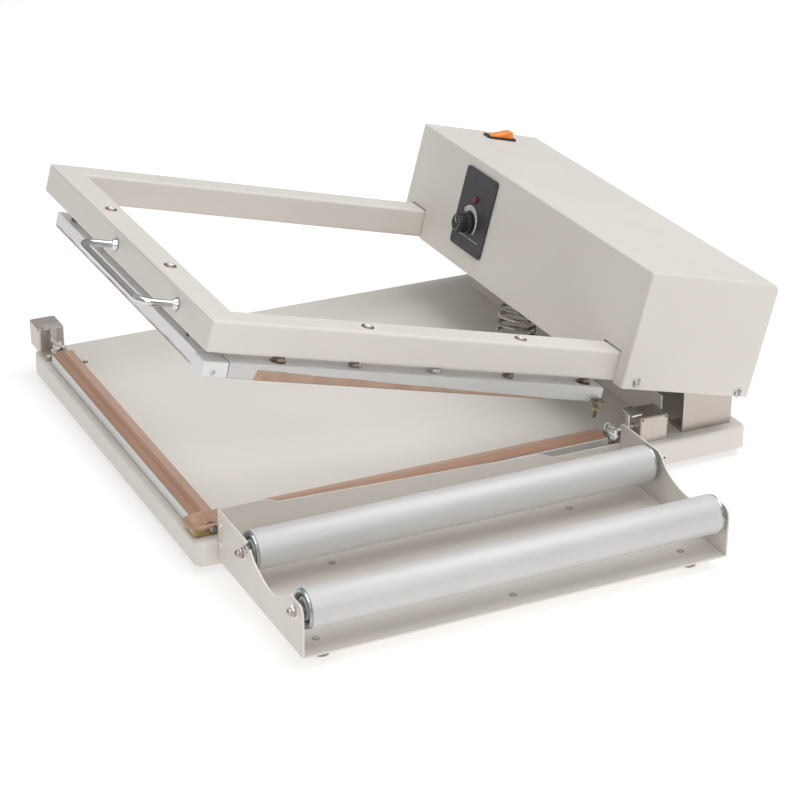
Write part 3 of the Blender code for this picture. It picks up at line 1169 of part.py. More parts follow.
def build_chassis(arm):
    """Folded floor of the housing, bolted between the tubes, with ears on the hinge shaft."""
    front = HOUSING_FRONT_Y + HOUSING_SHEET + SEAT_GAP
    rear = HOUSING_REAR_Y - HOUSING_SHEET - CHASSIS_REAR_GAP
    low = HOUSING_FLOOR_Z
    tube_inner = FRAME_WIDTH / 2 - TUBE - SEAT_GAP
    ear_outer = BRACKET_OUTER - BRACKET_SHEET - SEAT_GAP
    ear_front = -CHASSIS_EAR_TO_HINGE
    top = low + CHASSIS_SHEET
    chassis = box("chassis", (-tube_inner, front, low), (tube_inner, rear, top), STEEL, arm)
    fuse(chassis, box("chassis_rear", (-ear_outer, ear_front, low), (ear_outer, rear, top), None, arm))
    fuse(chassis, box("chassis_front_lip", (-tube_inner, front, low),
                      (tube_inner, front + CHASSIS_SHEET, low + CHASSIS_LIP), None, arm))
    crown = CHASSIS_EAR_CROWN
    ear = filleted([
        (ear_front, low), (rear, low), (rear, crown, crown / 2), (-crown, crown, crown / 2),
        (ear_front, 0),
    ])
    hole = circle(0, 0, HINGE_SHAFT_RADIUS + RUNNING_GAP)
    for side, sign in (("left", -1), ("right", 1)):
        lip_outer = sign * tube_inner
        lip_inner = sign * (tube_inner - CHASSIS_SHEET)
        fuse(chassis, box(f"chassis_lip_{side}", (min(lip_outer, lip_inner), front, low),
                          (max(lip_outer, lip_inner), ear_front, low + CHASSIS_LIP), None, arm))
        fuse(chassis, plate(f"chassis_ear_{side}", [ear, hole], CHASSIS_SHEET,
                            (sign * (ear_outer - CHASSIS_SHEET / 2), 0, 0), ALONG_YZ, None, arm))

    floor = top + SEAT_GAP
    core_low = floor
    core_high = floor + CORE_HEIGHT
    x = HOUSING_WIDTH * TRANSFORMER_X_SHARE
    y = HOUSING_FRONT_Y * TRANSFORMER_Y_SHARE
    window_low = core_low + CORE_LIMB
    window_high = core_high - CORE_LIMB
    transformer = box("transformer", (x - CORE_WIDTH / 2, y - CORE_STACK / 2, core_low),
                      (x + CORE_WIDTH / 2, y + CORE_STACK / 2, core_high), CORE_STEEL, arm)
    through = CORE_STACK / 2 + CUT_OVERRUN
    for side, sign in (("left", -1), ("right", 1)):
        near = x + sign * CORE_LIMB
        far = x + sign * (CORE_WIDTH / 2 - CORE_LIMB)
        cut(transformer, box(f"core_window_{side}", (min(near, far), y - through, window_low),
                             (max(near, far), y + through, window_high), None, arm))
    coil_x = CORE_WIDTH / 2 - CORE_LIMB - SEAT_GAP
    coil_y = CORE_STACK / 2 + COIL_OVERHANG
    radius = COIL_OVERHANG / 2
    coil = filleted([(x - coil_x, y - coil_y, radius), (x + coil_x, y - coil_y, radius),
                     (x + coil_x, y + coil_y, radius), (x - coil_x, y + coil_y, radius)])
    fuse(transformer, plate("transformer_coil", [coil], window_high - window_low - 2 * SEAT_GAP,
                            (0, 0, (window_low + window_high) / 2), (0, 0, 0), None, arm))


def build_controls(arm):
    """Panel, timer board, knob, lamp and the rocker on the housing's top."""
    wall_front = HOUSING_FRONT_Y
    panel_back = wall_front - SEAT_GAP
    panel_front = panel_back - PANEL_SHEET
    left = PANEL_X - PANEL_WIDTH / 2
    right = PANEL_X + PANEL_WIDTH / 2
    low = PANEL_Z - PANEL_HEIGHT / 2
    high = PANEL_Z + PANEL_HEIGHT / 2
    outline = filleted([
        (left, low, PANEL_CORNER), (right, low, PANEL_CORNER), (right, high, PANEL_CORNER),
        (left, high, PANEL_CORNER),
    ])
    holes = [
        circle(KNOB_X, KNOB_Z, POT_SHAFT_RADIUS + RUNNING_GAP),
        circle(LAMP_X, LAMP_Z, LAMP_STEM_RADIUS + SEAT_GAP),
    ]
    plate("control_panel", [outline, *holes], PANEL_SHEET, (0, (panel_back + panel_front) / 2, 0),
          ALONG_XZ, CHARCOAL, arm)

    inside = wall_front + HOUSING_SHEET + CHASSIS_SHEET + 2 * SEAT_GAP
    shaft_front = panel_front - POT_SHAFT_LENGTH
    board_y = inside + POT_BODY_LENGTH
    knob_z = KNOB_Z
    board = box("timer_board", (KNOB_X - BOARD_WIDTH / 2, board_y, knob_z - BOARD_HEIGHT / 3),
                (KNOB_X + BOARD_WIDTH / 2, board_y + BOARD_SHEET, knob_z + BOARD_HEIGHT * 2 / 3),
                BOARD_GREEN, arm)
    body_rear = board_y + BOARD_SHEET / 2
    fuse(board, rod("pot_body", POT_BODY_RADIUS, body_rear - inside,
                    (KNOB_X, (inside + body_rear) / 2, knob_z), "Y", None, arm))
    shaft_rear = inside + SEAT_GAP
    fuse(board, rod("pot_shaft", POT_SHAFT_RADIUS, shaft_rear - shaft_front,
                    (KNOB_X, (shaft_front + shaft_rear) / 2, knob_z), "Y", None, arm,
                    SMALL_ROUND_STEPS))

    knob_pivot = empty("knob_pivot", (KNOB_X, panel_front - SEAT_GAP, knob_z), ALONG_XZ, arm)
    round_start = KNOB_RADIUS - KNOB_TOP_ROUND
    profile = [
        (0, KNOB_LENGTH), (round_start, KNOB_LENGTH), (KNOB_RADIUS, KNOB_LENGTH - KNOB_TOP_ROUND),
        (KNOB_RADIUS, KNOB_SKIRT_HEIGHT + KNOB_TOP_ROUND), (KNOB_SKIRT_RADIUS, KNOB_SKIRT_HEIGHT),
        (KNOB_SKIRT_RADIUS, 0), (0, 0),
    ]
    knob = turned("timer_knob", profile, (0, 0, 0), (0, 0, 0), BLACK, knob_pivot)
    cut(knob, rod("knob_bore", POT_SHAFT_RADIUS + RUNNING_GAP, 2 * KNOB_BORE_DEPTH, (0, 0, 0),
                  "Z", None, knob_pivot, SMALL_ROUND_STEPS))
    groove = KNOB_GROOVE / 2
    cut(knob, box("knob_groove", (-groove, KNOB_RADIUS / 4, KNOB_LENGTH - KNOB_GROOVE),
                  (groove, KNOB_SKIRT_RADIUS + CUT_OVERRUN, KNOB_LENGTH + CUT_OVERRUN), None,
                  knob_pivot))

    lamp_face = panel_front - SEAT_GAP
    stem_rear = LAMP_STEM_LENGTH + LAMP_HEIGHT
    lens = [
        (0, LAMP_HEIGHT), (LAMP_RADIUS * 3 / 4, LAMP_HEIGHT * 4 / 5),
        (LAMP_RADIUS, LAMP_HEIGHT / 3), (LAMP_RADIUS, 0), (LAMP_STEM_RADIUS, 0),
        (LAMP_STEM_RADIUS, LAMP_HEIGHT - stem_rear), (0, LAMP_HEIGHT - stem_rear),
    ]
    turned("indicator_lens", lens, (LAMP_X, lamp_face, LAMP_Z), ALONG_XZ, LENS, arm,
           steps=SMALL_ROUND_STEPS)
    build_rocker(arm)


def build_rocker(arm):
    """Mains rocker: a bezel with a well, and a two-faced button that tips in it."""
    top = HOUSING_TOP_Z + SEAT_GAP
    y = HOUSING_FRONT_Y + ROCKER_FROM_FRONT_WALL
    half_x = BEZEL_WIDTH / 2
    half_y = BEZEL_LENGTH / 2
    rim = filleted([(-half_x, -half_y, BEZEL_CORNER), (half_x, -half_y, BEZEL_CORNER),
                    (half_x, half_y, BEZEL_CORNER), (-half_x, half_y, BEZEL_CORNER)])
    bezel = plate("rocker_bezel", [rim], BEZEL_RISE, (ROCKER_X, y, top + BEZEL_RISE / 2),
                  (0, 0, 0), BLACK, arm)
    body_x = half_x - BEZEL_BODY_INSET
    body_y = half_y - BEZEL_BODY_INSET
    floor = top - BEZEL_BODY_DEPTH
    fuse(bezel, box("bezel_body", (ROCKER_X - body_x, y - body_y, floor),
                    (ROCKER_X + body_x, y + body_y, top + BEZEL_RISE / 2), None, arm))
    well_x = half_x - BEZEL_RIM
    well_y = half_y - BEZEL_RIM
    cut(bezel, box("bezel_well", (ROCKER_X - well_x, y - well_y, floor + BEZEL_RIM),
                   (ROCKER_X + well_x, y + well_y, top + BEZEL_RISE + CUT_OVERRUN), None, arm))

    pivot_z = top + BEZEL_RISE - ROCKER_PIVOT_DROP
    pivot = empty("rocker_pivot", (ROCKER_X, y, pivot_z), (ROCKER_HALF_ANGLE, 0, 0), arm)
    reach = (well_y - RUNNING_GAP) * math.cos(ROCKER_HALF_ANGLE)
    slope = math.tan(ROCKER_HALF_ANGLE)
    outline = filleted([
        (-reach, -ROCKER_DEPTH + reach * slope, BEZEL_CORNER / 4), (0, -ROCKER_DEPTH),
        (reach, -ROCKER_DEPTH + reach * slope, BEZEL_CORNER / 4),
        (reach - BEZEL_CORNER / 4, ROCKER_CROWN + reach * slope / 2, BEZEL_CORNER / 4),
        (0, ROCKER_CROWN - reach * slope / 2),
        (-reach + BEZEL_CORNER / 4, ROCKER_CROWN + reach * slope / 2, BEZEL_CORNER / 4),
    ])
    plate("power_rocker", [outline], 2 * (well_x - RUNNING_GAP), (0, 0, 0), ALONG_YZ, ORANGE, pivot)


for leftover in list(bpy.data.objects):
    bpy.data.objects.remove(leftover, do_unlink=True)
PARTS = new_collection("l_bar_sealer")
CUTTERS = new_collection("cutters")

CREAM = material("cream_paint", (0.80, 0.77, 0.72), 0.45)
ALUMINIUM = material("drawn_aluminium", (0.80, 0.80, 0.81), 0.35, 1.0)
ROLLER_METAL = material("satin_anodised_aluminium", (0.78, 0.78, 0.79), 0.42, 1.0)
NICKEL = material("nickel_plate", (0.72, 0.66, 0.60), 0.3, 1.0)
STEEL = material("zinc_plated_steel", (0.60, 0.60, 0.60), 0.4, 1.0)
SPRING_STEEL = material("spring_steel", (0.55, 0.52, 0.48), 0.3, 1.0)
ZINC = material("dark_passivated_zinc", (0.20, 0.24, 0.24), 0.4, 1.0)
CHROME = material("chrome", (0.85, 0.85, 0.86), 0.1, 1.0)
BRASS = material("aged_brass", (0.42, 0.32, 0.14), 0.45, 1.0)
NICHROME = material("heating_wire", (0.40, 0.38, 0.36), 0.4, 1.0)
CORE_STEEL = material("laminated_steel", (0.25, 0.25, 0.26), 0.6, 1.0)
TAPE = material("brown_cover_tape", (0.52, 0.33, 0.24), 0.5)
RUBBER = material("black_rubber", (0.03, 0.03, 0.03), 0.8)
CHARCOAL = material("charcoal_panel", (0.055, 0.05, 0.055), 0.5)
BLACK = material("black_plastic", (0.02, 0.02, 0.022), 0.4)
BOARD_GREEN = material("circuit_board", (0.05, 0.22, 0.10), 0.5)
LENS = material("red_lens", (0.45, 0.02, 0.02), 0.25)
ORANGE = material("orange_rocker", (0.90, 0.25, 0.03), 0.3)

build_table()
build_lower_bars()
build_hinge_stand()
build_arm_spring()
build_cradle()
build_seal_switch()
arm_pivot = empty("arm_pivot", (ARM_X, HINGE_Y, HINGE_Z), (-OPEN_ANGLE, 0, 0))
build_frame(arm_pivot)
build_jaws(arm_pivot)
build_housing(arm_pivot)
build_controls(arm_pivot)
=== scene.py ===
"""Looks of the tabletop L-bar sealer: finishes, small fittings, lights and the photo's camera.

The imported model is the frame. Everything here is in metres, in the model's own axes.
"""

import json
import math

import bmesh
import bpy
from mathutils import Matrix, Vector, noise


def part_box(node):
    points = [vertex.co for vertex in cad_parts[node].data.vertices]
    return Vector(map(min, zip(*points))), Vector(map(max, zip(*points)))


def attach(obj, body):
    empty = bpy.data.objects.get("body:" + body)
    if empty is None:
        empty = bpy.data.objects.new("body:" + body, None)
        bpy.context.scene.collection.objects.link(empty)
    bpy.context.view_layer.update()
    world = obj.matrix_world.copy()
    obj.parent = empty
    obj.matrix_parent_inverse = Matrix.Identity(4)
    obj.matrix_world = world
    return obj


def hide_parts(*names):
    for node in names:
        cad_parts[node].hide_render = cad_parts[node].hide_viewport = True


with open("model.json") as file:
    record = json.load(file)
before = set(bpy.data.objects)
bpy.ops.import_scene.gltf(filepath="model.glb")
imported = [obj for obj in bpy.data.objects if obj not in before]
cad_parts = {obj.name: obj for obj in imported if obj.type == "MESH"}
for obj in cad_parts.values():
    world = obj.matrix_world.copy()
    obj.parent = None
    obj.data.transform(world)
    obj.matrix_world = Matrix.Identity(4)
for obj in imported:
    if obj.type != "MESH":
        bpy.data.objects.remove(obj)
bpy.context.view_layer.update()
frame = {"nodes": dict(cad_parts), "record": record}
NODES = frame["nodes"]

# Arm, as packed: how far it is raised
OPEN_ANGLE = math.radians(14.5)

# Places on the arm, in its own axes: origin on the hinge, Y along the tubes, Z out of their tops
FRAME_TOP_Z = 0.0171
PANEL_FACE_Y = -0.1263
PANEL_CENTRE = (-0.0875, 0.0475)
PANEL_HALF = (0.0315, 0.0400)
PANEL_RIVET_INSET = 0.0036
PANEL_LINE_CENTRE = (-0.0902, 0.0212)
PANEL_LINE_HALF = (0.0243, 0.00025)
LAMP_CENTRE = (-0.0885, 0.0595)
HOUSING_END_X = 0.2257
HOUSING_SCREWS = ((-0.1100, -0.0052), (0.0030, -0.0084))
JAW_TOP_Z = -0.0194
JAW_LOW_Z = -0.0336
JAW_CHAMFER = 0.0012
SIDE_JAW_X = 0.1955
SIDE_JAW_FACE_X = 0.20625
SIDE_JAW_ENDS = (-0.4970, -0.1295)
FRONT_JAW_Y = -0.5085
FRONT_JAW_FACE_Y = -0.51925
SIDE_NUT_PLACES = (-0.4496, -0.3781, -0.3010, -0.2245, -0.1455)
FRONT_NUT_PLACES = (-0.1500, 0.1480)
ACTUATOR_PLACE = (0.2110, -0.1345)
ACTUATOR_TIP_Z = -0.0507
ACTUATOR_SHORTER = 0.0045
TAB_THICKNESS = 0.0022
SIDE_NUT_METALS = (("bronze", "bronze"), ("bronze", "brass"), ("zinc", "zinc"), ("bronze", "brass"),
                   ("bronze", "bronze"))
SEAT_GAP = 0.0003

# Timer dial: printed ring, in degrees clockwise from the top, and its digits
DIAL_CENTRE = (-0.0915, 0.0345)
DIAL_INNER = 0.0131
DIAL_START = -52.0
DIAL_END = 124.0
DIAL_WIDE = 0.0050
DIAL_TAPER = 0.0034
DIAL_TAPER_START_SHARE = 0.28
DIAL_STEPS = 44
DIGIT_COUNT = 9
DIGIT_FIRST = 9.0
DIGIT_SPARE = 22.0
DIGIT_HEIGHT = 0.0038
DIGIT_SHRINK = 0.0018
PRINT_THICKNESS = 0.00012

# Timer knob
KNOB_LENGTH = 0.0142
KNOB_RADIUS = 0.0094
KNOB_SKIRT = 0.0105
KNOB_BORE = (0.0034, 0.0105)
KNOB_FLUTES = 18
KNOB_FLUTE_SHARE = 0.055
KNOB_FLUTE_START = 0.0030
KNOB_POINTER_ANGLE = math.radians(42)

# Rocker: rises over the bezel's top at shares of its length, and how far its foot slants in
ROCKER_CREST = (
    (0.00, 0.0004), (0.05, 0.0012), (0.14, 0.0016), (0.26, 0.0021), (0.38, 0.0029), (0.50, 0.0039),
    (0.62, 0.0050), (0.74, 0.0060), (0.84, 0.0067), (0.91, 0.0068), (0.96, 0.0062), (0.985, 0.0048),
    (1.00, 0.0020),
)
ROCKER_FOOT_SHARE = 0.12
ROCKER_EDGE = 0.0007
ROCKER_EDGE_WIDTH = 0.0008
ROCKER_CROWN = 0.0002

# Handle
HANDLE_FOOT_INSET = 0.0072
HANDLE_REACH = 0.0340
HANDLE_BEND = 0.0120
HANDLE_RADIUS = 0.0033
HANDLE_SUNK = 0.001
HANDLE_BEND_STEPS = 12

# Places on the table, in the model's axes
TABLE_TOP = 0.030
FRONT_UNIT = (-0.2591, -0.2565, TABLE_TOP)
SIDE_UNIT = (0.1199, 0.1291, TABLE_TOP)
CRADLE_BACK_X = 0.1417
CRADLE_FRONT_Y = -0.254
CRADLE_REAR_Y = 0.137
CRADLE_RIVET_INSET = 0.0062
CRADLE_RIVET_PITCH = 0.0184
LEAD_PLACE = (-0.2526, -0.236, TABLE_TOP)
TRAY_FLOOR_Z = 0.0135
TRAY_SCREWS = ((0.1895, -0.1709), (0.1877, 0.0577), (0.3010, -0.0585), (0.2960, -0.2330), (0.2960, 0.1050))
ROLLER_WALL = 0.0016
ROLLER_EASE = 0.0005
ROLLER_EASE_SHARE = 0.3

# Tension unit, in its own axes: X away from the seal bar, Z up from the table
CLAMP_FACE = 0.0055
CLAMP_SCREW_PLACE = (0.0060, 0.0092)
LOW_CLAMP_SCREW_PLACE = (0.0113, 0.0078)
CLAMP_TOP = 0.0035 + 0.0125
CLAMP_TOP_SCREW_X = 0.0105
BASE_SCREW_PLACE = (0.0165, 0.0090, 0.0023)
BLOCK_HOLES_X = (0.0352, 0.0593)
BLOCK_HOLE_PLACE = (0.0130, 0.0228)
EYE_CENTRE_X = 0.0045
EYE_RADII = (0.0030, 0.0028)
EYE_LEAN = 0.0005
EYE_STEPS = 14
EYE_WIRE = 0.00055

# Cover tapes and the folded tape on the corner
TAPE_CUTS_ALONG = 150
TAPE_CUTS_ACROSS = 16
TAPE_RIPPLE = 0.00030
TAPE_CREASE = 0.00090
TAPE_CREASE_START_SHARE = 0.72
TAPE_THICKNESS = 0.00018
JAW_TAPE_THICKNESS = 0.0002
JAW_TAPE_STEPS = 60
JAW_TAPE_REACH = 0.0066
WRAP_STEPS = 14
WRAP_BEND_STEPS = 6
WRAP_ROWS = ((0.0, -0.004), (0.0, -0.001), (0.15, 0.0012), (0.45, 0.0024), (0.75, 0.0020), (1.0, 0.0010))
COVER_STEPS = 18
COVER_LIFT = 0.0011
COVER_INSET = 0.0012
COVER_RIDGE = 0.0017
COVER_RIDGE_HALF = 0.0052
COVER_CREASE = 0.00028
COVER_DROP = 0.0010
COVER_DROP_WIDTH = 0.0030

# Screw heads, as (radius, height)
JAW_BOLT_HEAD = (0.0036, 0.0023)
HOUSING_SCREW = (0.0031, 0.0022)
TAB_SCREW = (0.0033, 0.0022)
CLAMP_SCREW = (0.0034, 0.0022)
LOW_CLAMP_SCREW = (0.0026, 0.0018)
CLAMP_TOP_SCREW = (0.0030, 0.0020)
BASE_SCREW = (0.0028, 0.0017)
CORNER_SCREW = (0.0026, 0.0018)
TRAY_SCREW = (0.0025, 0.0013)

# Nuts, as (radius, height), and washers, as (bore, radius, thickness)
FIRST_SIDE_NUT = (0.0062, 0.0038)
SIDE_NUT = (0.0053, 0.0038)
FRONT_NUT = (0.0056, 0.0044)
ACTUATOR_NUT = (0.0046, 0.0044)
AXLE_NUT = (0.0054, 0.0029)
LAMP_RING = (0.0031, 0.0040, 0.0006)
BOLT_RING = (0.0029, 0.0056, 0.0008)
SIDE_WASHER = (0.0030, 0.0068, 0.0009)
# Ring of painted shade at the foot of each handle flange
HANDLE_SHADE_RING = (0.0036, 0.0060, 0.0004)
LEAD_BUSH = (0.0009, 0.0024, 0.0010)
AXLE_WASHER = (0.0031, 0.0064, 0.0008)
TRAY_WASHER = (0.0024, 0.0030, 0.0003)

# Turned profiles, as (radius, height) points
PANEL_RIVET = [(0, 0.0007), (0.0007, 0.0006), (0.0012, 0.0003), (0.0014, 0), (0, 0)]
HOUSING_CUP = [(0.0028, 0.0002), (0.0041, 0.0), (0.0043, 0.0004), (0.0036, 0.0011), (0.0028, 0.0010),
               (0.0028, 0.0002)]
JAW_STUD = [(0, 0.0052), (0.0021, 0.0052), (0.0026, 0.0048), (0.0026, 0.0036), (0, 0.0036)]
HANDLE_FLANGE = [(0.0030, 0.0003), (0.0052, 0.0003), (0.0055, 0.0008), (0.0053, 0.0016), (0.0047, 0.0026),
                 (0.0043, 0.0040), (0.0040, 0.0046), (0.0030, 0.0046), (0.0030, 0.0003)]
ACTUATOR_COLLAR = [(0, 0.0068), (0.0027, 0.0068), (0.0033, 0.0062), (0.0033, 0.0044), (0, 0.0044)]
BLOCK_HOLE = [(0, 0.00008), (0.0010, 0.00008), (0.0011, -0.0002), (0, -0.0002)]
CRADLE_RIVET = [(0.0, 0.0006), (0.0008, 0.0007), (0.0010, 0.0011), (0.0018, 0.0012), (0.0027, 0.0008),
                (0.0031, 0.0002), (0.0031, 0.0), (0, 0)]
AXLE_DOME = [(0, 0.0076), (0.0010, 0.0075), (0.0021, 0.0069), (0.0029, 0.0058), (0.0032, 0.0044),
             (0.0032, 0.0034), (0, 0.0034)]
BEARING_RACE = [(0.0076, -0.0021), (0.0076, -0.0010), (0.0082, -0.0006), (0.0092, -0.0010),
                (0.0100, -0.0021), (0.0076, -0.0021)]
BEARING_SEAL = [(0.0101, -0.00215), (0.0101, -0.0017), (0.0112, -0.0017), (0.0116, -0.00215),
                (0.0101, -0.00215)]

# Camera of the photograph, in the table's frame: its top's middle is the origin
CAMERA_AZIMUTH = math.radians(64.1)
CAMERA_ELEVATION = math.radians(25.1)
CAMERA_ROLL = math.radians(0.4)
CAMERA_TARGET = (0.3524, -0.1486, 0.1647)
CAMERA_DISTANCE = 1.8523
CAMERA_FOCAL_SHARE = 2369.9 / 800
CAMERA_FAR = 50.0
SENSOR = 36.0

# Floor, backdrop and lights, each as (name, place, target, size, power, colour)
FLOOR_SIZE = 30.0
BACKDROP_COLOUR = (0.56, 0.55, 0.535)
FLOOR_GLOW = 0.56
SKY_LOW = 0.20
SKY_HIGH = 0.50
SKY_RISE_END = 0.7
BACKDROP_GLOW = 0.82
LIGHTS = (
    ("top", (0.25, 0.75, 2.5), (0.0, 0.0, 0.0), (2.6, 2.6), 48.0, (0.975, 0.99, 1.0)),
    ("right_fill", (2.5, -0.5, 1.7), (0.0, 0.0, 0.08), (1.8, 1.6), 17.5, (1.0, 0.985, 0.965)),
    ("front_fill", (-0.9, -2.6, 1.1), (0.0, 0.0, 0.1), (1.6, 1.4), 2.0, (1.0, 0.93, 0.86)),
)

UP = (0, 0, 1)
REARWARD = (0, 1, 0)

JOINTS = {joint["name"]: joint for joint in frame["record"]["behaviour"]["joints"]}
HINGE = Vector(JOINTS["arm_hinge"]["pos_m"])
ARM = Matrix.Translation(HINGE) @ Matrix.Rotation(-OPEN_ANGLE, 4, "X")


def middle(name):
    low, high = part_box(name)
    return (Vector(low) + Vector(high)) / 2


def arm_box(name):
    """Lowest and highest corners of a node in the arm's own axes."""
    points = [ARM.inverted() @ vert.co for vert in NODES[name].data.vertices]
    low = Vector([min(point[axis] for point in points) for axis in range(3)])
    high = Vector([max(point[axis] for point in points) for axis in range(3)])
    return low, high


def add_object(name, data):
    item = bpy.data.objects.new(name, data)
    bpy.context.scene.collection.objects.link(item)
    return item


# Node helpers


class Nodes:
    """Short calls for one material's node tree."""

    def __init__(self, name, roughness=0.5, metallic=0.0):
        self.material = bpy.data.materials.new(name)
        self.material.use_nodes = True
        self.tree = self.material.node_tree
        self.shader = self.tree.nodes["Principled BSDF"]
        self.shader.inputs["Roughness"].default_value = roughness
        self.shader.inputs["Metallic"].default_value = metallic
        self.place = self.tree.nodes.new("ShaderNodeTexCoord").outputs["Object"]

    def set(self, socket, value):
        self.shader.inputs[socket].default_value = value
        return self

    def link(self, output, socket):
        self.tree.links.new(output, self.shader.inputs[socket])
        return self

    def node(self, kind, inputs, **settings):
        """Add a node; each input gets a value, or a link where it is an output."""
        node = self.tree.nodes.new(f"ShaderNode{kind}")
        for key, value in settings.items():
            setattr(node, key, value)
        for key, value in inputs.items():
            if isinstance(value, bpy.types.NodeSocket):
                self.tree.links.new(value, node.inputs[key])
            else:
                node.inputs[key].default_value = value
        return node

    def noise(self, scale, detail=3.0, stretch=(1, 1, 1), roughness=0.5):
        mapping = self.node("Mapping", {"Vector": self.place, "Scale": stretch})
        inputs = {"Scale": scale, "Detail": detail, "Roughness": roughness,
                  "Vector": mapping.outputs["Vector"]}
        return self.node("TexNoise", inputs).outputs["Fac"]

    def wave(self, scale, axis):
        inputs = {"Scale": scale, "Vector": self.place}
        return self.node("TexWave", inputs, wave_type="BANDS", bands_direction=axis).outputs["Fac"]

    def ramp(self, factor, stops):
        node = self.node("ValToRGB", {"Fac": factor})
        elements = node.color_ramp.elements
        while len(elements) < len(stops):
            elements.new(0.5)
        for element, (position, colour) in zip(elements, stops):
            element.position = position
            element.color = (*colour, 1.0)
        return node.outputs["Color"]

    def scaled(self, factor, low, high, start=0.0, end=1.0):
        inputs = {"From Min": start, "From Max": end, "To Min": low, "To Max": high, "Value": factor}
        return self.node("MapRange", inputs).outputs["Result"]

    def math(self, operation, first, second):
        return self.node("Math", {0: first, 1: second}, operation=operation).outputs["Value"]

    def mix(self, factor, first, second):
        first, second = ((*colour, 1.0) if isinstance(colour, tuple) else colour
                         for colour in (first, second))
        node = self.node("Mix", {}, data_type="RGBA")
        for socket, value in ((0, factor), (6, first), (7, second)):
            if isinstance(value, tuple):
                node.inputs[socket].default_value = value
            else:
                self.tree.links.new(value, node.inputs[socket])
        return node.outputs[2]

    def bump(self, height, strength, distance):
        node = self.node("Bump", {"Strength": strength, "Distance": distance, "Height": height})
        return self.link(node.outputs["Normal"], "Normal")


# Finishes


def cream_paint():
    """Satin powder coat with fine orange peel, slight shade changes and dust marks."""
    n = Nodes("cream_paint", roughness=0.42)
    cloud = n.noise(9.0, detail=4.0)
    tint = n.ramp(cloud, [(0.3, (0.725, 0.685, 0.637)), (0.7, (0.755, 0.716, 0.668))])
    speck = n.noise(650.0, detail=2.0)
    dust = n.scaled(speck, 0.0, 0.35, 0.68, 0.74)
    n.link(n.mix(dust, tint, (0.60, 0.575, 0.53)), "Base Color")
    n.link(n.scaled(n.noise(40.0), 0.36, 0.5, 0.3, 0.7), "Roughness")
    peel = n.noise(1500.0, detail=1.0)
    n.bump(peel, 0.12, 0.0002)
    n.set("Coat Weight", 0.12).set("Coat Roughness", 0.25)
    return n.material


def brushed(name, colour, roughness, grain, strength=0.12, spread=0.06, fine=900.0):
    """Metal with fine lines; the grain is the stretch of its noise along each axis."""
    n = Nodes(name, roughness=roughness, metallic=1.0)
    lines = n.noise(fine, detail=3.0, stretch=grain, roughness=0.6)
    dark = tuple(value * (1 - 1.6 * spread) for value in colour)
    light = tuple(min(1.0, value * (1 + spread)) for value in colour)
    n.link(n.ramp(lines, [(0.3, dark), (0.7, light)]), "Base Color")
    n.link(n.scaled(lines, roughness - 0.07, roughness + 0.09, 0.3, 0.7), "Roughness")
    n.bump(lines, strength, 0.0001)
    return n.material


def zinc_plate():
    """Zinc with the faint blue and yellow stains of its passivation."""
    n = Nodes("zinc_plate", roughness=0.36, metallic=1.0)
    stain = n.noise(120.0, detail=4.0)
    stops = [(0.25, (0.56, 0.57, 0.60)), (0.5, (0.62, 0.62, 0.61)), (0.78, (0.66, 0.63, 0.54))]
    n.link(n.ramp(stain, stops), "Base Color")
    n.link(n.scaled(n.noise(700.0), 0.28, 0.46, 0.3, 0.7), "Roughness")
    n.bump(n.noise(2600.0), 0.1, 0.0001)
    return n.material


def bearing_steel():
    """Blue-grey plated pressing, stained unevenly."""
    n = Nodes("bearing_steel", roughness=0.33, metallic=1.0)
    stain = n.noise(240.0, detail=4.0)
    stops = [(0.25, (0.27, 0.33, 0.345)), (0.55, (0.45, 0.50, 0.51)), (0.8, (0.62, 0.65, 0.64))]
    n.link(n.ramp(stain, stops), "Base Color")
    n.link(n.scaled(n.noise(900.0), 0.25, 0.45, 0.3, 0.7), "Roughness")
    n.bump(n.noise(1800.0), 0.12, 0.0001)
    return n.material


def satin_metal(name, dark, light, roughness, metallic=1.0, grain=(1, 1, 1), depth=0.04, fine=1100.0):
    """Plated or anodised metal with a soft sheen, faint cloud and a very fine grain."""
    n = Nodes(name, roughness=roughness, metallic=metallic)
    cloud = n.noise(14.0, detail=4.0)
    lines = n.noise(fine, detail=2.0, stretch=grain, roughness=0.55)
    mixed = n.math("ADD", n.math("MULTIPLY", cloud, 0.6), n.math("MULTIPLY", lines, 0.4))
    n.link(n.ramp(mixed, [(0.38, dark), (0.62, light)]), "Base Color")
    n.link(n.scaled(cloud, roughness - 0.04, roughness + 0.06, 0.3, 0.7), "Roughness")
    n.bump(lines, depth, 0.0001)
    return n.material


def chrome():
    """Mirror plating with a faint film of smears."""
    n = Nodes("chrome", roughness=0.07, metallic=1.0)
    film = n.noise(60.0, detail=5.0)
    n.link(n.ramp(film, [(0.3, (0.60, 0.60, 0.615)), (0.7, (0.70, 0.70, 0.715))]), "Base Color")
    n.link(n.scaled(film, 0.05, 0.13, 0.4, 0.75), "Roughness")
    return n.material


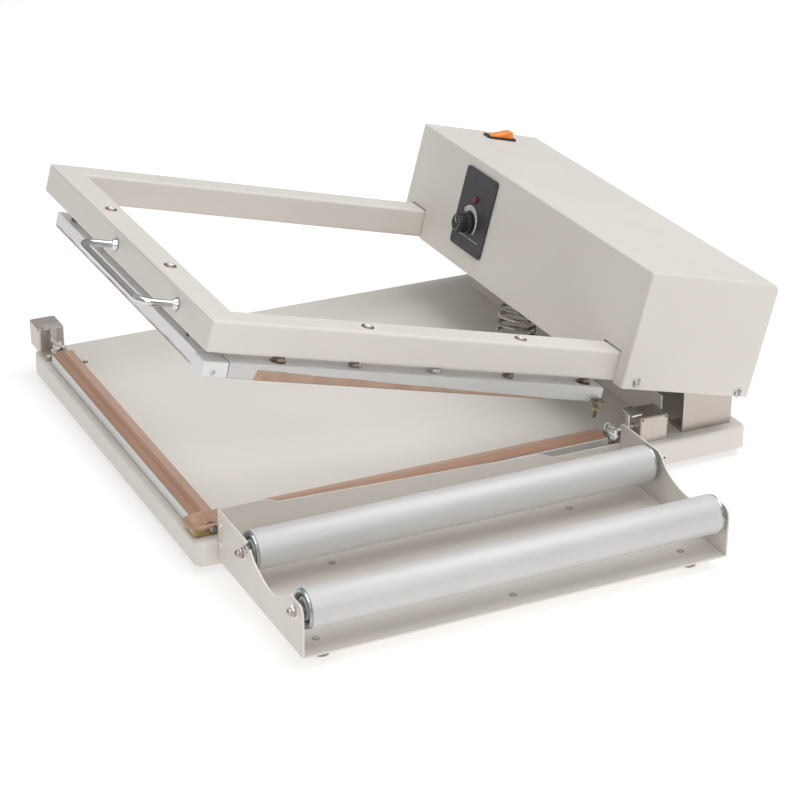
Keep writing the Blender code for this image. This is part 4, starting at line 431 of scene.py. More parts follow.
def cover_tape(name, turn, axis, centre, outward):
    """Brown woven tape over the hot wire, with painted shade on its outer half, painted light on its inner
    half and a dark line along the wire.
    """
    n = Nodes(name, roughness=0.42)
    warp = n.wave(520.0, "X")
    weft = n.wave(520.0, "Y")
    weave = n.math("MULTIPLY", warp, weft)
    cloud = n.noise(30.0, detail=4.0, stretch=turn)
    parts = n.node("SeparateXYZ", {"Vector": n.place})
    ripple = n.math("MULTIPLY", n.math("SUBTRACT", n.noise(22.0, stretch=turn), 0.5), 0.003)
    across = n.math("MULTIPLY", n.math("SUBTRACT", parts.outputs[axis], centre), outward)
    across = n.math("ADD", across, ripple)
    # Darker outer half and lighter inner half: painted shade and painted light of the tape's domed section,
    # over a random cloud of tone.
    outer = n.ramp(cloud, [(0.3, (0.365, 0.200, 0.128)), (0.7, (0.46, 0.275, 0.185))])
    inner = n.ramp(cloud, [(0.3, (0.47, 0.295, 0.215)), (0.7, (0.58, 0.395, 0.305))])
    base = n.mix(n.scaled(across, 0.0, 1.0, -0.0016, 0.0008), inner, outer)
    # Dark line near the wire, drawn from the distance across the tape.
    wire_dark_line = n.scaled(n.math("ABSOLUTE", n.math("ADD", across, 0.0012), 0.0), 0.65, 0.0, 0.0, 0.0011)
    base = n.mix(wire_dark_line, base, (0.20, 0.105, 0.065))
    n.link(n.mix(n.scaled(weave, 0.0, 0.18), base, (0.62, 0.43, 0.32)), "Base Color")
    n.link(n.scaled(cloud, 0.34, 0.5, 0.3, 0.7), "Roughness")
    n.bump(weave, 0.25, 0.0002)
    return n.material


def corner_brass():
    """Dull brass corner piece, tarnished unevenly."""
    n = Nodes("corner_brass", roughness=0.4, metallic=0.9)
    stain = n.noise(160.0, detail=5.0)
    stops = [(0.25, (0.25, 0.18, 0.07)), (0.55, (0.40, 0.30, 0.13)), (0.8, (0.52, 0.41, 0.20))]
    n.link(n.ramp(stain, stops), "Base Color")
    n.link(n.scaled(n.noise(500.0), 0.32, 0.52, 0.3, 0.7), "Roughness")
    n.bump(n.noise(1500.0), 0.15, 0.0001)
    return n.material


def plain(name, dark, light, roughness, grain=900.0, depth=0.15, metallic=0.0, cloud=60.0):
    """Moulded or sprayed surface with a fine grain and a little shade change."""
    n = Nodes(name, roughness=roughness, metallic=metallic)
    n.link(n.ramp(n.noise(cloud, detail=4.0), [(0.3, dark), (0.7, light)]), "Base Color")
    fine = n.noise(grain, detail=2.0)
    n.link(n.scaled(fine, roughness - 0.06, roughness + 0.08, 0.3, 0.7), "Roughness")
    n.bump(fine, depth, 0.0002)
    return n.material


def rocker_plastic():
    """Clear orange plastic, a little lit from inside."""
    n = Nodes("rocker_plastic", roughness=0.22)
    glow = n.noise(150.0, detail=2.0)
    n.link(n.ramp(glow, [(0.3, (0.80, 0.20, 0.02)), (0.7, (0.95, 0.33, 0.04))]), "Base Color")
    n.link(n.ramp(glow, [(0.3, (0.70, 0.16, 0.01)), (0.7, (0.90, 0.30, 0.03))]), "Emission Color")
    n.set("Emission Strength", 0.15).set("Coat Weight", 0.5).set("Coat Roughness", 0.08)
    return n.material


def laminated_core():
    """Laminated iron, with its thin sheets showing as lines."""
    n = Nodes("laminations", roughness=0.5, metallic=1.0)
    sheets = n.wave(700.0, "Y")
    n.link(n.ramp(sheets, [(0.2, (0.10, 0.10, 0.11)), (0.8, (0.26, 0.25, 0.25))]), "Base Color")
    n.link(n.scaled(n.noise(300.0), 0.4, 0.62, 0.3, 0.7), "Roughness")
    n.bump(sheets, 0.3, 0.0003)
    return n.material


def make_materials():
    along_x = (0.02, 1, 1)
    along_y = (1, 0.02, 1)
    upright = (1, 1, 0.03)
    return {
        "paint": cream_paint(),
        "bar_x": satin_metal("drawn_bar_x", (0.62, 0.615, 0.60), (0.70, 0.695, 0.68), 0.40, 0.45, along_x),
        "bar_y": satin_metal("drawn_bar_y", (0.62, 0.615, 0.60), (0.70, 0.695, 0.68), 0.40, 0.45, along_y),
        "jaw_x": satin_metal("satin_jaw_x", (0.80, 0.80, 0.81), (0.86, 0.86, 0.87), 0.42, 0.3,
                             along_x),
        # Lighter, less shiny copy of the jaw finish for its top face: painted light standing in for light
        # bounced into the gap under the frame.
        "painted_light_jaw_top": plain("painted_light_jaw_top", (0.86, 0.86, 0.88), (0.92, 0.92, 0.94), 0.45),
        "tray_screw": satin_metal("tray_screw", (0.55, 0.53, 0.51), (0.72, 0.70, 0.67), 0.35, 0.6),
        "ring_brown": satin_metal("ring_brown", (0.22, 0.15, 0.11), (0.42, 0.31, 0.24), 0.34),
        "jaw_y": satin_metal("satin_jaw_y", (0.63, 0.63, 0.62), (0.69, 0.69, 0.68), 0.42, 0.35,
                             along_y),
        "nickel": satin_metal("nickel_plate", (0.55, 0.49, 0.445), (0.65, 0.585, 0.54), 0.36, 0.7,
                              upright, 0.08, 500.0),
        "bracket": brushed("bracket_plate", (0.54, 0.485, 0.445), 0.38, upright, 0.05, 0.025, 500.0),
        "bright": satin_metal("bright_plate", (0.80, 0.79, 0.765), (0.88, 0.87, 0.85), 0.28, 0.55),
        "zinc": zinc_plate(),
        "bearing": bearing_steel(),
        "bronze": satin_metal("dark_bronze", (0.20, 0.165, 0.125), (0.38, 0.33, 0.27), 0.38),
        "brass": satin_metal("brass", (0.55, 0.42, 0.22), (0.70, 0.56, 0.32), 0.32),
        "copper_tint": satin_metal("copper_tint", (0.36, 0.29, 0.25), (0.60, 0.52, 0.47), 0.27),
        "roller": satin_metal("roller_metal", (0.60, 0.598, 0.593), (0.64, 0.638, 0.634), 0.45, 0.15,
                              depth=0.02),
        "hook": satin_metal("hook_plate", (0.62, 0.60, 0.57), (0.88, 0.86, 0.83), 0.27, 0.7, fine=300.0),
        "spring": plain("spring_wire", (0.42, 0.38, 0.34), (0.60, 0.56, 0.51), 0.28, metallic=1.0),
        "chrome": chrome(),
        "corner": corner_brass(),
        "wire": plain("heating_wire", (0.30, 0.27, 0.25), (0.46, 0.43, 0.40), 0.4, metallic=1.0),
        "tape_x": cover_tape("tape_front", (0.1, 1, 1), "Y", FRONT_UNIT[1], -1.0),
        "tape_y": cover_tape("tape_side", (1, 0.1, 1), "X", SIDE_UNIT[0], 1.0),
        "tape_plain": plain("tape_plain", (0.42, 0.245, 0.165), (0.56, 0.36, 0.26), 0.45),
        "tape_jaw": plain("tape_jaw", (0.43, 0.275, 0.205), (0.54, 0.365, 0.28), 0.45),
        "core": laminated_core(),
        "rubber": plain("black_rubber", (0.018, 0.018, 0.018), (0.035, 0.034, 0.033), 0.75),
        # Mid grey for the cradle's feet: painted shade, so that they read as the soft shadow under the
        # cradle's edge.
        "cradle_feet_painted_shade": plain("cradle_feet_painted_shade", (0.30, 0.28, 0.265), (0.36, 0.34, 0.32), 0.7),
        "panel": plain("charcoal_panel", (0.036, 0.034, 0.043), (0.050, 0.047, 0.058), 0.46),
        "black": plain("black_plastic", (0.012, 0.012, 0.013), (0.022, 0.022, 0.023), 0.33),
        "board": plain("circuit_board", (0.03, 0.16, 0.07), (0.05, 0.24, 0.11), 0.4),
        "rocker": rocker_plastic(),
        "print": plain("panel_print", (0.62, 0.62, 0.61), (0.72, 0.72, 0.71), 0.5),
        "dial_print": plain("dial_print", (0.66, 0.63, 0.62), (0.76, 0.735, 0.725), 0.5),
        "rivet_black": plain("rivet_black", (0.015, 0.015, 0.017), (0.03, 0.03, 0.032), 0.25),
        "rim_grey": plain("rim_grey", (0.20, 0.20, 0.205), (0.30, 0.30, 0.305), 0.3, metallic=0.6),
        "bearing_dark": plain("bearing_dark", (0.03, 0.045, 0.05), (0.07, 0.09, 0.095), 0.45),
        # Dark colour for the printed digits, and painted shade in the tension blocks' holes.
        "dark": plain("dark_print_and_hole_shade", (0.010, 0.010, 0.010), (0.020, 0.019, 0.018), 0.8),
        "red_lens": plain("red_lens", (0.15, 0.012, 0.012), (0.24, 0.022, 0.018), 0.24, depth=0.05),
    }


FINISH_OF = {
    "paint": ("table_pan", "hinge_guard", "cradle_tray", "cradle_plate_front",
              "cradle_plate_rear", "u_frame", "housing_cover"),
    "bar_x": ("lower_front_bar",),
    "bar_y": ("lower_side_bar",),
    "jaw_x": ("upper_front_jaw", "jaw_corner"),
    "jaw_y": ("upper_side_jaw",),
    "roller": ("roller_inner", "roller_outer"),
    "nickel": ("front_tension_block", "side_tension_block"),
    "bracket": ("hinge_bracket_left", "hinge_bracket_right"),
    "hook": ("front_tension_hook", "side_tension_hook"),
    "zinc": ("bottom_plate", "spring_seat", "hinge_shaft", "chassis", "jaw_bolt_1",
             "jaw_bolt_2", "jaw_bolt_3", "jaw_bolt_4", "switch_actuator",
             "roller_inner_axle", "roller_outer_axle", "front_tension_spring",
             "side_tension_spring"),
    "spring": ("arm_spring",),
    "bearing": ("roller_inner_cap_front", "roller_inner_cap_rear", "roller_outer_cap_front",
                "roller_outer_cap_rear"),
    "chrome": ("pull_handle",),
    "corner": ("corner_block",),
    "wire": ("front_heating_wire", "side_heating_wire"),
    "core": ("transformer",),
    "tape_x": ("front_tape",),
    "tape_y": ("side_tape",),
    "tape_jaw": ("front_jaw_pad", "side_jaw_pad"),
    "rubber": ("table_foot_front_left", "table_foot_front_right", "table_foot_rear_left",
               "table_foot_rear_right"),
    "cradle_feet_painted_shade": ("cradle_foot_front", "cradle_foot_rear"),
    "panel": ("control_panel",),
    "black": ("timer_knob", "rocker_bezel", "seal_switch"),
    "board": ("timer_board",),
    "red_lens": ("indicator_lens",),
    "rocker": ("power_rocker",),
}


def paint_nodes(materials):
    for finish, names in FINISH_OF.items():
        for name in names:
            mesh = NODES[name].data
            mesh.materials.clear()
            mesh.materials.append(materials[finish])


# Mesh helpers


def finish_piece(name, shape, material, body, transform=None, edge=35):
    """Turn a bmesh into a piece that rides on a body."""
    if transform is not None:
        shape.transform(transform)
    bmesh.ops.recalc_face_normals(shape, faces=shape.faces)
    mesh = bpy.data.meshes.new(name)
    shape.to_mesh(mesh)
    shape.free()
    for polygon in mesh.polygons:
        polygon.use_smooth = True
    mesh.set_sharp_from_angle(angle=math.radians(edge))
    mesh.materials.append(MATERIALS[material])
    item = add_object(name, mesh)
    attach(item, body)
    return item


def facing(place, direction, up=(0, 0, 1)):
    """Matrix whose local Z looks along a direction, with local Y near up."""
    z = Vector(direction).normalized()
    x = Vector(up).cross(z)
    if x.length < 0.01:
        x = Vector((1, 0, 0))
    x.normalize()
    turn = Matrix((x, z.cross(x), z)).transposed().to_4x4()
    return Matrix.Translation(Vector(place)) @ turn


def arm_facing(place, direction, up=(0, 0, 1)):
    """The same for a place and a direction in the arm's axes."""
    return ARM @ facing(place, direction, up)


def lathe(shape, profile, steps=28, squeeze=None):
    """Rings of (radius, height) about Z, joined, with the ends closed at radius zero."""
    rings = []
    for radius, height in profile:
        if radius == 0:
            rings.append([shape.verts.new((0, 0, height))])
            continue
        ring = []
        for step in range(steps):
            angle = 2 * math.pi * step / steps
            reach = radius if squeeze is None else radius * squeeze(angle, height)
            ring.append(shape.verts.new((reach * math.cos(angle), reach * math.sin(angle), height)))
        rings.append(ring)
    for low, high in zip(rings, rings[1:]):
        for step in range(steps):
            following = (step + 1) % steps
            corners = []
            for ring, index in ((low, step), (low, following), (high, following), (high, step)):
                vert = ring[0] if len(ring) == 1 else ring[index]
                if vert not in corners:
                    corners.append(vert)
            if len(corners) > 2:
                shape.faces.new(corners)
    return rings


def turned_piece(name, profile, material, body, matrix, steps=28, squeeze=None):
    shape = bmesh.new()
    lathe(shape, profile, steps, squeeze)
    return finish_piece(name, shape, material, body, matrix)


def slab(shape, outline, low, high):
    """Prism on an outline of (x, y) points."""
    bottom = [shape.verts.new((x, y, low)) for x, y in outline]
    top = [shape.verts.new((x, y, high)) for x, y in outline]
    shape.faces.new(bottom[::-1])
    shape.faces.new(top)
    for index in range(len(outline)):
        following = (index + 1) % len(outline)
        shape.faces.new((bottom[index], bottom[following], top[following], top[index]))


def rectangle(half_x, half_y):
    return [(-half_x, -half_y), (half_x, -half_y), (half_x, half_y), (-half_x, half_y)]


def pan_head(name, radius, height, matrix, body, material="zinc", drive="cross"):
    """Screw head with a sunk cross or hexagon drive."""
    steps = 48
    shares = (0.10, 0.18, 0.26, 0.34, 0.42, 0.50, 0.58, 0.68, 0.80, 0.90, 0.97, 1.0)
    shape = bmesh.new()

    def level(across, along, share):
        crown = height * (1 - 0.35 * share ** 3)
        x, y = abs(across), abs(along)
        if drive == "cross":
            sunk = min(x, y) < 0.16 * radius and max(x, y) < 0.62 * radius
        else:
            sunk = max(y, x * 0.866 + y * 0.5) < 0.46 * radius
        return crown - (0.45 * height if sunk else 0)

    rings = [[shape.verts.new((0, 0, level(0, 0, 0)))]]
    for share in shares:
        ring = []
        for step in range(steps):
            angle = 2 * math.pi * step / steps
            across = radius * share * math.cos(angle)
            along = radius * share * math.sin(angle)
            ring.append(shape.verts.new((across, along, level(across, along, share))))
        rings.append(ring)
    for ring_height in (0.3 * height, 0):
        rings.append([shape.verts.new((radius * math.cos(2 * math.pi * step / steps),
                                       radius * math.sin(2 * math.pi * step / steps),
                                       ring_height)) for step in range(steps)])
    for low, high in zip(rings, rings[1:]):
        for step in range(steps):
            following = (step + 1) % steps
            if len(low) == 1:
                shape.faces.new((low[0], high[step], high[following]))
            else:
                shape.faces.new((low[step], high[step], high[following], low[following]))
    shape.faces.new(rings[-1][::-1])
    return finish_piece(name, shape, material, body, matrix, 25)


def washer(name, inner, outer, thickness, matrix, body, material="zinc"):
    edge = thickness / 3
    profile = [(inner, 0), (outer, 0), (outer, thickness - edge), (outer - edge, thickness),
               (inner + edge, thickness), (inner, thickness - edge), (inner, 0)]
    return turned_piece(name, profile, material, body, matrix)


def hex_nut(name, radius, height, matrix, body, material="bronze"):
    """Six-sided nut with its corners turned off at both ends."""
    flat = radius * math.cos(math.pi / 6)

    def six(angle, level):
        sector = (angle + math.pi / 6) % (math.pi / 3) - math.pi / 6
        reach = flat / math.cos(sector)
        return min(reach, flat * 0.99) / radius if level in (0, height) else reach / radius

    shape = bmesh.new()
    rings = lathe(shape, [(radius, share * height) for share in (0, 0.12, 0.88, 1)], 48, six)
    shape.faces.new(rings[0][::-1])
    shape.faces.new(rings[-1])
    return finish_piece(name, shape, material, body, matrix, 20)


def wire_piece(name, points, radius, material, body, matrix=None, sides=8):
    """Round wire along a polyline of points."""
    shape = bmesh.new()
    path = [Vector(point) for point in points]
    rings = []
    side = (path[1] - path[0]).normalized().orthogonal().normalized()
    for index, point in enumerate(path):
        before = path[max(index - 1, 0)]
        after = path[min(index + 1, len(path) - 1)]
        along = (after - before).normalized()
        side = (side - along * side.dot(along)).normalized()
        other = along.cross(side)
        ring = []
        for step in range(sides):
            angle = 2 * math.pi * step / sides
            ring.append(shape.verts.new(point + (side * math.cos(angle) + other * math.sin(angle)) * radius))
        rings.append(ring)
    shape.faces.new(rings[0][::-1])
    shape.faces.new(rings[-1])
    for low, high in zip(rings, rings[1:]):
        for step in range(sides):
            following = (step + 1) % sides
            shape.faces.new((low[step], low[following], high[following], high[step]))
    return finish_piece(name, shape, material, body, matrix, 60)


def sheet_piece(name, rows, material, body, thickness, matrix=None, edge=40):
    """Thin sheet from rows of points, thickened towards its back."""
    shape = bmesh.new()
    front = [[shape.verts.new(point) for point in row] for row in rows]
    faces = []
    for low, high in zip(front, front[1:]):
        for index in range(len(low) - 1):
            faces.append(shape.faces.new((low[index], low[index + 1], high[index + 1], high[index])))
    bmesh.ops.recalc_face_normals(shape, faces=faces)
    bmesh.ops.solidify(shape, geom=faces, thickness=thickness)
    return finish_piece(name, shape, material, body, matrix, edge)


# Control panel


def panel_at(x, z, lift=0.0):
    return arm_facing((x, PANEL_FACE_Y - lift, z), (0, -1, 0))


def dial_point(degrees, radius):
    angle = math.radians(degrees)
    return radius * math.sin(angle), radius * math.cos(angle)


def dial_width(share):
    past = max(0.0, share - DIAL_TAPER_START_SHARE) / (1 - DIAL_TAPER_START_SHARE)
    return DIAL_WIDE - DIAL_TAPER * past


def digit_shape(digit, size):
    """Flat letter form of one digit, as a bmesh."""
    curve = bpy.data.curves.new("digit", "FONT")
    curve.body = digit
    curve.size = size
    curve.align_x = "CENTER"
    curve.align_y = "CENTER"
    curve.extrude = PRINT_THICKNESS / 4
    lettering = add_object("digit", curve)
    bpy.context.view_layer.update()
    mesh = bpy.data.meshes.new_from_object(lettering)
    shape = bmesh.new()
    shape.from_mesh(mesh)
    bpy.data.objects.remove(lettering)
    bpy.data.curves.remove(curve)
    bpy.data.meshes.remove(mesh)
    return shape


def build_dial():
    """White scale that narrows clockwise, with its plain numbers, rivets and the line below."""
    inner, outer = [], []
    for step in range(DIAL_STEPS + 1):
        share = step / DIAL_STEPS
        degrees = DIAL_START + (DIAL_END - DIAL_START) * share
        inner.append((*dial_point(degrees, DIAL_INNER), 0))
        outer.append((*dial_point(degrees, DIAL_INNER + dial_width(share)), 0))
    place = panel_at(*DIAL_CENTRE, 0.0002)
    sheet_piece("dial_scale", [inner, outer], "dial_print", "arm", 0.00015, place)
    for number in range(DIGIT_COUNT):
        share = number / (DIGIT_COUNT - 1)
        degrees = DIAL_START + DIGIT_FIRST + (DIAL_END - DIAL_START - DIGIT_SPARE) * share
        shape = digit_shape(str(number), DIGIT_HEIGHT - DIGIT_SHRINK * share)
        across, up = dial_point(degrees, DIAL_INNER + dial_width(share) / 2)
        turn = Matrix.Rotation(-math.radians(degrees), 4, "Z")
        spot = place @ Matrix.Translation((across, up, PRINT_THICKNESS)) @ turn
        finish_piece(f"dial_number_{number}", shape, "dark", "arm", spot)
    shape = bmesh.new()
    slab(shape, rectangle(*PANEL_LINE_HALF), 0, PRINT_THICKNESS)
    finish_piece("panel_line", shape, "print", "arm", panel_at(*PANEL_LINE_CENTRE, 0.00005))
    for index, (side, end) in enumerate(((-1, -1), (1, -1), (-1, 1), (1, 1))):
        x = PANEL_CENTRE[0] + side * (PANEL_HALF[0] - PANEL_RIVET_INSET)
        z = PANEL_CENTRE[1] + end * (PANEL_HALF[1] - PANEL_RIVET_INSET)
        turned_piece(f"panel_rivet_{index}", PANEL_RIVET, "rivet_black", "arm", panel_at(x, z), 20)
    washer("lamp_ring", *LAMP_RING, panel_at(*LAMP_CENTRE), "arm", "black")


def build_knob():
    """Fluted knob with a skirt, a bright rim line and a white pointer."""
    turn = JOINTS["timer_turn"]
    matrix = facing(turn["pos_m"], Vector(turn["axis"]), ARM.to_3x3() @ Vector(UP))
    length, grip, skirt = KNOB_LENGTH, KNOB_RADIUS, KNOB_SKIRT
    bore, depth = KNOB_BORE

    def flutes(angle, height):
        if not KNOB_FLUTE_START < height < length - 0.0008:
            return 1.0
        return 1.0 - KNOB_FLUTE_SHARE * (0.5 - 0.5 * math.cos(KNOB_FLUTES * angle)) ** 2

    profile = [
        (bore, 0.0), (skirt - 0.0004, 0.0), (skirt, 0.0004), (skirt, 0.0020), (grip + 0.0002, 0.0026),
        (grip, 0.0034), (grip, 0.0080), (grip - 0.0003, length - 0.0014), (grip - 0.0008, length - 0.0004),
        (grip - 0.0015, length), (grip - 0.0030, length), (grip - 0.0034, length - 0.0005),
        (0, length - 0.0005),
    ]
    knob = turned_piece("timer_knob_grip", profile, "black", "timer_knob", matrix, 144, flutes)
    turned_piece("timer_knob_bore", [(bore, 0.0), (bore, depth), (0, depth)], "black", "timer_knob",
                 matrix, 24)
    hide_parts("timer_knob")
    washer("timer_knob_rim", grip - 0.0026, grip - 0.0018, 0.00025,
           matrix @ Matrix.Translation((0, 0, length - 0.00005)), "timer_knob", "rim_grey")
    pointer = matrix @ Matrix.Rotation(KNOB_POINTER_ANGLE, 4, "Z")
    for name, half, start, end, low, high in (
        ("pointer", 0.00045, 0.0006, grip - 0.0036, length - 0.00055, length - 0.00035),
        ("mark", 0.0004, grip + 0.0003, skirt - 0.0001, 0.0020, 0.0026),
    ):
        shape = bmesh.new()
        slab(shape, [(-half, start), (half, start), (half, end), (-half, end)], low, high)
        finish_piece(f"timer_knob_{name}", shape, "print", "timer_knob", pointer)


def build_rocker():
    """Clear orange rocker: a dished top that rises to a rounded rear end."""
    low, high = arm_box("power_rocker")
    top_of_bezel = arm_box("rocker_bezel")[1].z
    length = high.y - low.y
    half = (high.x - low.x) / 2
    middle_x = (high.x + low.x) / 2
    shape = bmesh.new()
    verts = []
    for share, rise in ROCKER_CREST:
        y = low.y + length * share
        z = top_of_bezel + rise
        foot = low.y + length * (ROCKER_FOOT_SHARE + (1 - 2 * ROCKER_FOOT_SHARE) * share)
        row = [(-half, foot, low.z), (-half, y, z - ROCKER_EDGE), (-half + ROCKER_EDGE_WIDTH, y, z),
               (0, y, z + ROCKER_CROWN), (half - ROCKER_EDGE_WIDTH, y, z), (half, y, z - ROCKER_EDGE),
               (half, foot, low.z)]
        verts.append([shape.verts.new((middle_x + x, along, up)) for x, along, up in row])
    for first, second in zip(verts, verts[1:]):
        for index in range(len(first)):
            following = (index + 1) % len(first)
            shape.faces.new((first[index], first[following], second[following], second[index]))
    shape.faces.new(verts[0][::-1])
    shape.faces.new(verts[-1])
    piece = finish_piece("rocker_lens", shape, "rocker", "power_rocker", ARM, 50)
    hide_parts("power_rocker")


# Fasteners of the arm


def build_arm_fasteners():
    for index in range(4):
        low, high = arm_box(f"jaw_bolt_{index + 1}")
        place = ((low.x + high.x) / 2, (low.y + high.y) / 2, FRAME_TOP_Z)
        turn = arm_facing(place, UP, REARWARD)
        washer(f"bolt_ring_{index}", *BOLT_RING, turn, "arm", "ring_brown")
        head = pan_head(f"bolt_head_{index}", *JAW_BOLT_HEAD, turn @ Matrix.Translation((0, 0, 0.0006)),
                        "jaws", "bright", "hex")
        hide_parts(f"jaw_bolt_{index + 1}")
        shank = [(0, 0.0007), (0.0025, 0.0007), (0.0025, low.z - FRAME_TOP_Z), (0, low.z - FRAME_TOP_Z)]
        turned_piece(f"bolt_shank_{index}", shank, "zinc", "jaws", turn, 24)
    for side in (-1, 1):
        for index, (y, z) in enumerate(HOUSING_SCREWS):
            turn = arm_facing((side * HOUSING_END_X, y, z), (side, 0, 0))
            turned_piece(f"housing_cup_{side + 1}_{index}", HOUSING_CUP, "bearing", "arm", turn)
            pan_head(f"housing_screw_{side + 1}_{index}", *HOUSING_SCREW,
                     turn @ Matrix.Translation((0, 0, 0.0004)), "arm", "zinc")
    for index, y in enumerate(SIDE_NUT_PLACES):
        turn = arm_facing((SIDE_JAW_X, y, JAW_TOP_Z), UP, REARWARD)
        if index in (0, 4):
            washer(f"side_nut_washer_{index}", *SIDE_WASHER, turn, "jaws", "bronze")
        nut_metal, stud_metal = SIDE_NUT_METALS[index]
        size = SIDE_NUT if index else FIRST_SIDE_NUT
        lifted = arm_facing((SIDE_JAW_X, y, JAW_TOP_Z + SIDE_WASHER[2]), UP, REARWARD)
        hex_nut(f"side_nut_{index}", *size, lifted, "jaws", nut_metal)
        turned_piece(f"side_stud_{index}", JAW_STUD, stud_metal, "jaws", turn, 20)
    for index, x in enumerate(FRONT_NUT_PLACES):
        turn = arm_facing((x, FRONT_JAW_Y, JAW_TOP_Z), UP, REARWARD)
        hex_nut(f"front_nut_{index}", *FRONT_NUT, turn, "jaws")
        turned_piece(f"front_stud_{index}", JAW_STUD, "bronze", "jaws", turn, 20)


def build_handle():
    """Chrome pull: one bent rod on two domed flanges, each ringed with painted shade."""
    low, high = arm_box("pull_handle")
    face = high.y
    height = (low.z + high.z) / 2
    left, right = low.x + HANDLE_FOOT_INSET, high.x - HANDLE_FOOT_INSET
    far = face - HANDLE_REACH + HANDLE_BEND
    path = [(left, face - HANDLE_SUNK, height), (left, far, height)]
    for corner_x, start in ((left + HANDLE_BEND, 180), (right - HANDLE_BEND, 270)):
        for step in range(1, HANDLE_BEND_STEPS + 1):
            angle = math.radians(start + 90 * step / HANDLE_BEND_STEPS)
            path.append((corner_x + HANDLE_BEND * math.cos(angle), far + HANDLE_BEND * math.sin(angle),
                         height))
    path += [(right, face - HANDLE_SUNK, height)]
    rod = wire_piece("handle_rod", path, HANDLE_RADIUS, "chrome", "arm", ARM, 28)
    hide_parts("pull_handle")
    for index, x in enumerate((left, right)):
        turn = arm_facing((x, face + SEAT_GAP, height), (0, -1, 0))
        turned_piece(f"handle_flange_{index}", HANDLE_FLANGE, "chrome", "arm", turn, 40)
        # Grey ring around each flange's foot: painted shade for the dark gap between flange and housing.
        washer(f"handle_shade_ring_{index}", *HANDLE_SHADE_RING, turn, "arm", "rim_grey")


def build_actuator():
    """Bolt that reports a shut jaw: a hexagon nut and collar on its tab."""
    x, y = ACTUATOR_PLACE
    start = JAW_LOW_Z + JAW_CHAMFER + SEAT_GAP
    turn = arm_facing((x, y, start), (0, 0, -1), REARWARD)
    nut = hex_nut("actuator_nut", *ACTUATOR_NUT, turn, "jaws")
    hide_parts("switch_actuator")
    turned_piece("actuator_collar", ACTUATOR_COLLAR, "brass", "jaws", turn, 28)
    reach = start - ACTUATOR_TIP_Z - ACTUATOR_SHORTER
    bolt = [(0, reach), (0.0010, reach), (0.0015, reach - 0.0008), (0.0016, 0.0066), (0, 0.0066)]
    turned_piece("actuator_bolt", bolt, "bronze", "jaws", turn, 20)
    inner, end, corner, half, short = SIDE_JAW_FACE_X + 0.0001, x + 0.0044, x + 0.0036, 0.0048, 0.0040
    shape = bmesh.new()
    slab(shape, [(inner, y - half), (corner, y - half), (end, y - short), (end, y + short),
                 (corner, y + half), (inner, y + half)], start, start + TAB_THICKNESS)
    finish_piece("actuator_tab", shape, "bronze", "jaws", ARM)
    pan_head("actuator_head", *TAB_SCREW, arm_facing((x, y, start + TAB_THICKNESS), UP, REARWARD), "jaws",
             "bronze")


def build_jaw_tapes():
    """Brown tape that comes up from under each jaw onto its outer face."""
    low = JAW_LOW_Z
    bend = low + JAW_CHAMFER
    side_rows, front_rows = [[], [], [], []], [[], [], [], []]
    for step in range(JAW_TAPE_STEPS + 1):
        share = step / JAW_TAPE_STEPS
        y = -0.4735 + 0.284 * share
        top = max(-0.0239 - 0.0083 * share ** 0.92 + 0.00025 * math.sin(23 * share), bend + 0.0002)
        slant = 0.0022 * max(0.0, 1 - share * 60)
        face = SIDE_JAW_FACE_X + SEAT_GAP
        for row, point in zip(side_rows, (
            (face, y + slant, top), (face, y, bend),
            (SIDE_JAW_FACE_X - JAW_CHAMFER + 0.0002, y, low - 0.0002),
            (SIDE_JAW_X + JAW_TAPE_REACH, y, low - SEAT_GAP),
        )):
            row.append(point)
        x = -0.171 + 0.348 * share
        top = bend + 0.0009 + 0.0004 * math.sin(17 * share) + 0.0003 * math.sin(61 * share)
        face = FRONT_JAW_FACE_Y - SEAT_GAP
        for row, point in zip(front_rows, (
            (x, face, top), (x, face, bend),
            (x, FRONT_JAW_FACE_Y + JAW_CHAMFER - 0.0002, low - 0.0002),
            (x, FRONT_JAW_Y - JAW_TAPE_REACH, low - SEAT_GAP),
        )):
            row.append(point)
    sheet_piece("side_jaw_tape", side_rows, "tape_jaw", "jaws", JAW_TAPE_THICKNESS, ARM)
    # Lighter sheet over the side jaw's top: painted light for the gap under the frame.
    shape = bmesh.new()
    half = SIDE_JAW_FACE_X - SIDE_JAW_X - SEAT_GAP
    front, rear = SIDE_JAW_ENDS
    slab(shape, [(SIDE_JAW_X - half, front), (SIDE_JAW_X + half, front),
                 (SIDE_JAW_X + half, rear), (SIDE_JAW_X - half, rear)],
         JAW_TOP_Z + 0.00003, JAW_TOP_Z + 0.00020)
    finish_piece("side_jaw_painted_light", shape, "painted_light_jaw_top", "jaws", ARM)
    sheet_piece("front_jaw_tape", front_rows, "tape_jaw", "jaws", JAW_TAPE_THICKNESS, ARM)


# Fittings of the table


def unit_matrix(place, outward):
    """Axes of a tension unit: X away from its seal bar, Z up."""
    x = Vector(outward)
    z = Vector(UP)
    turn = Matrix((x, z.cross(x), z)).transposed().to_4x4()
    return Matrix.Translation(Vector(place)) @ turn


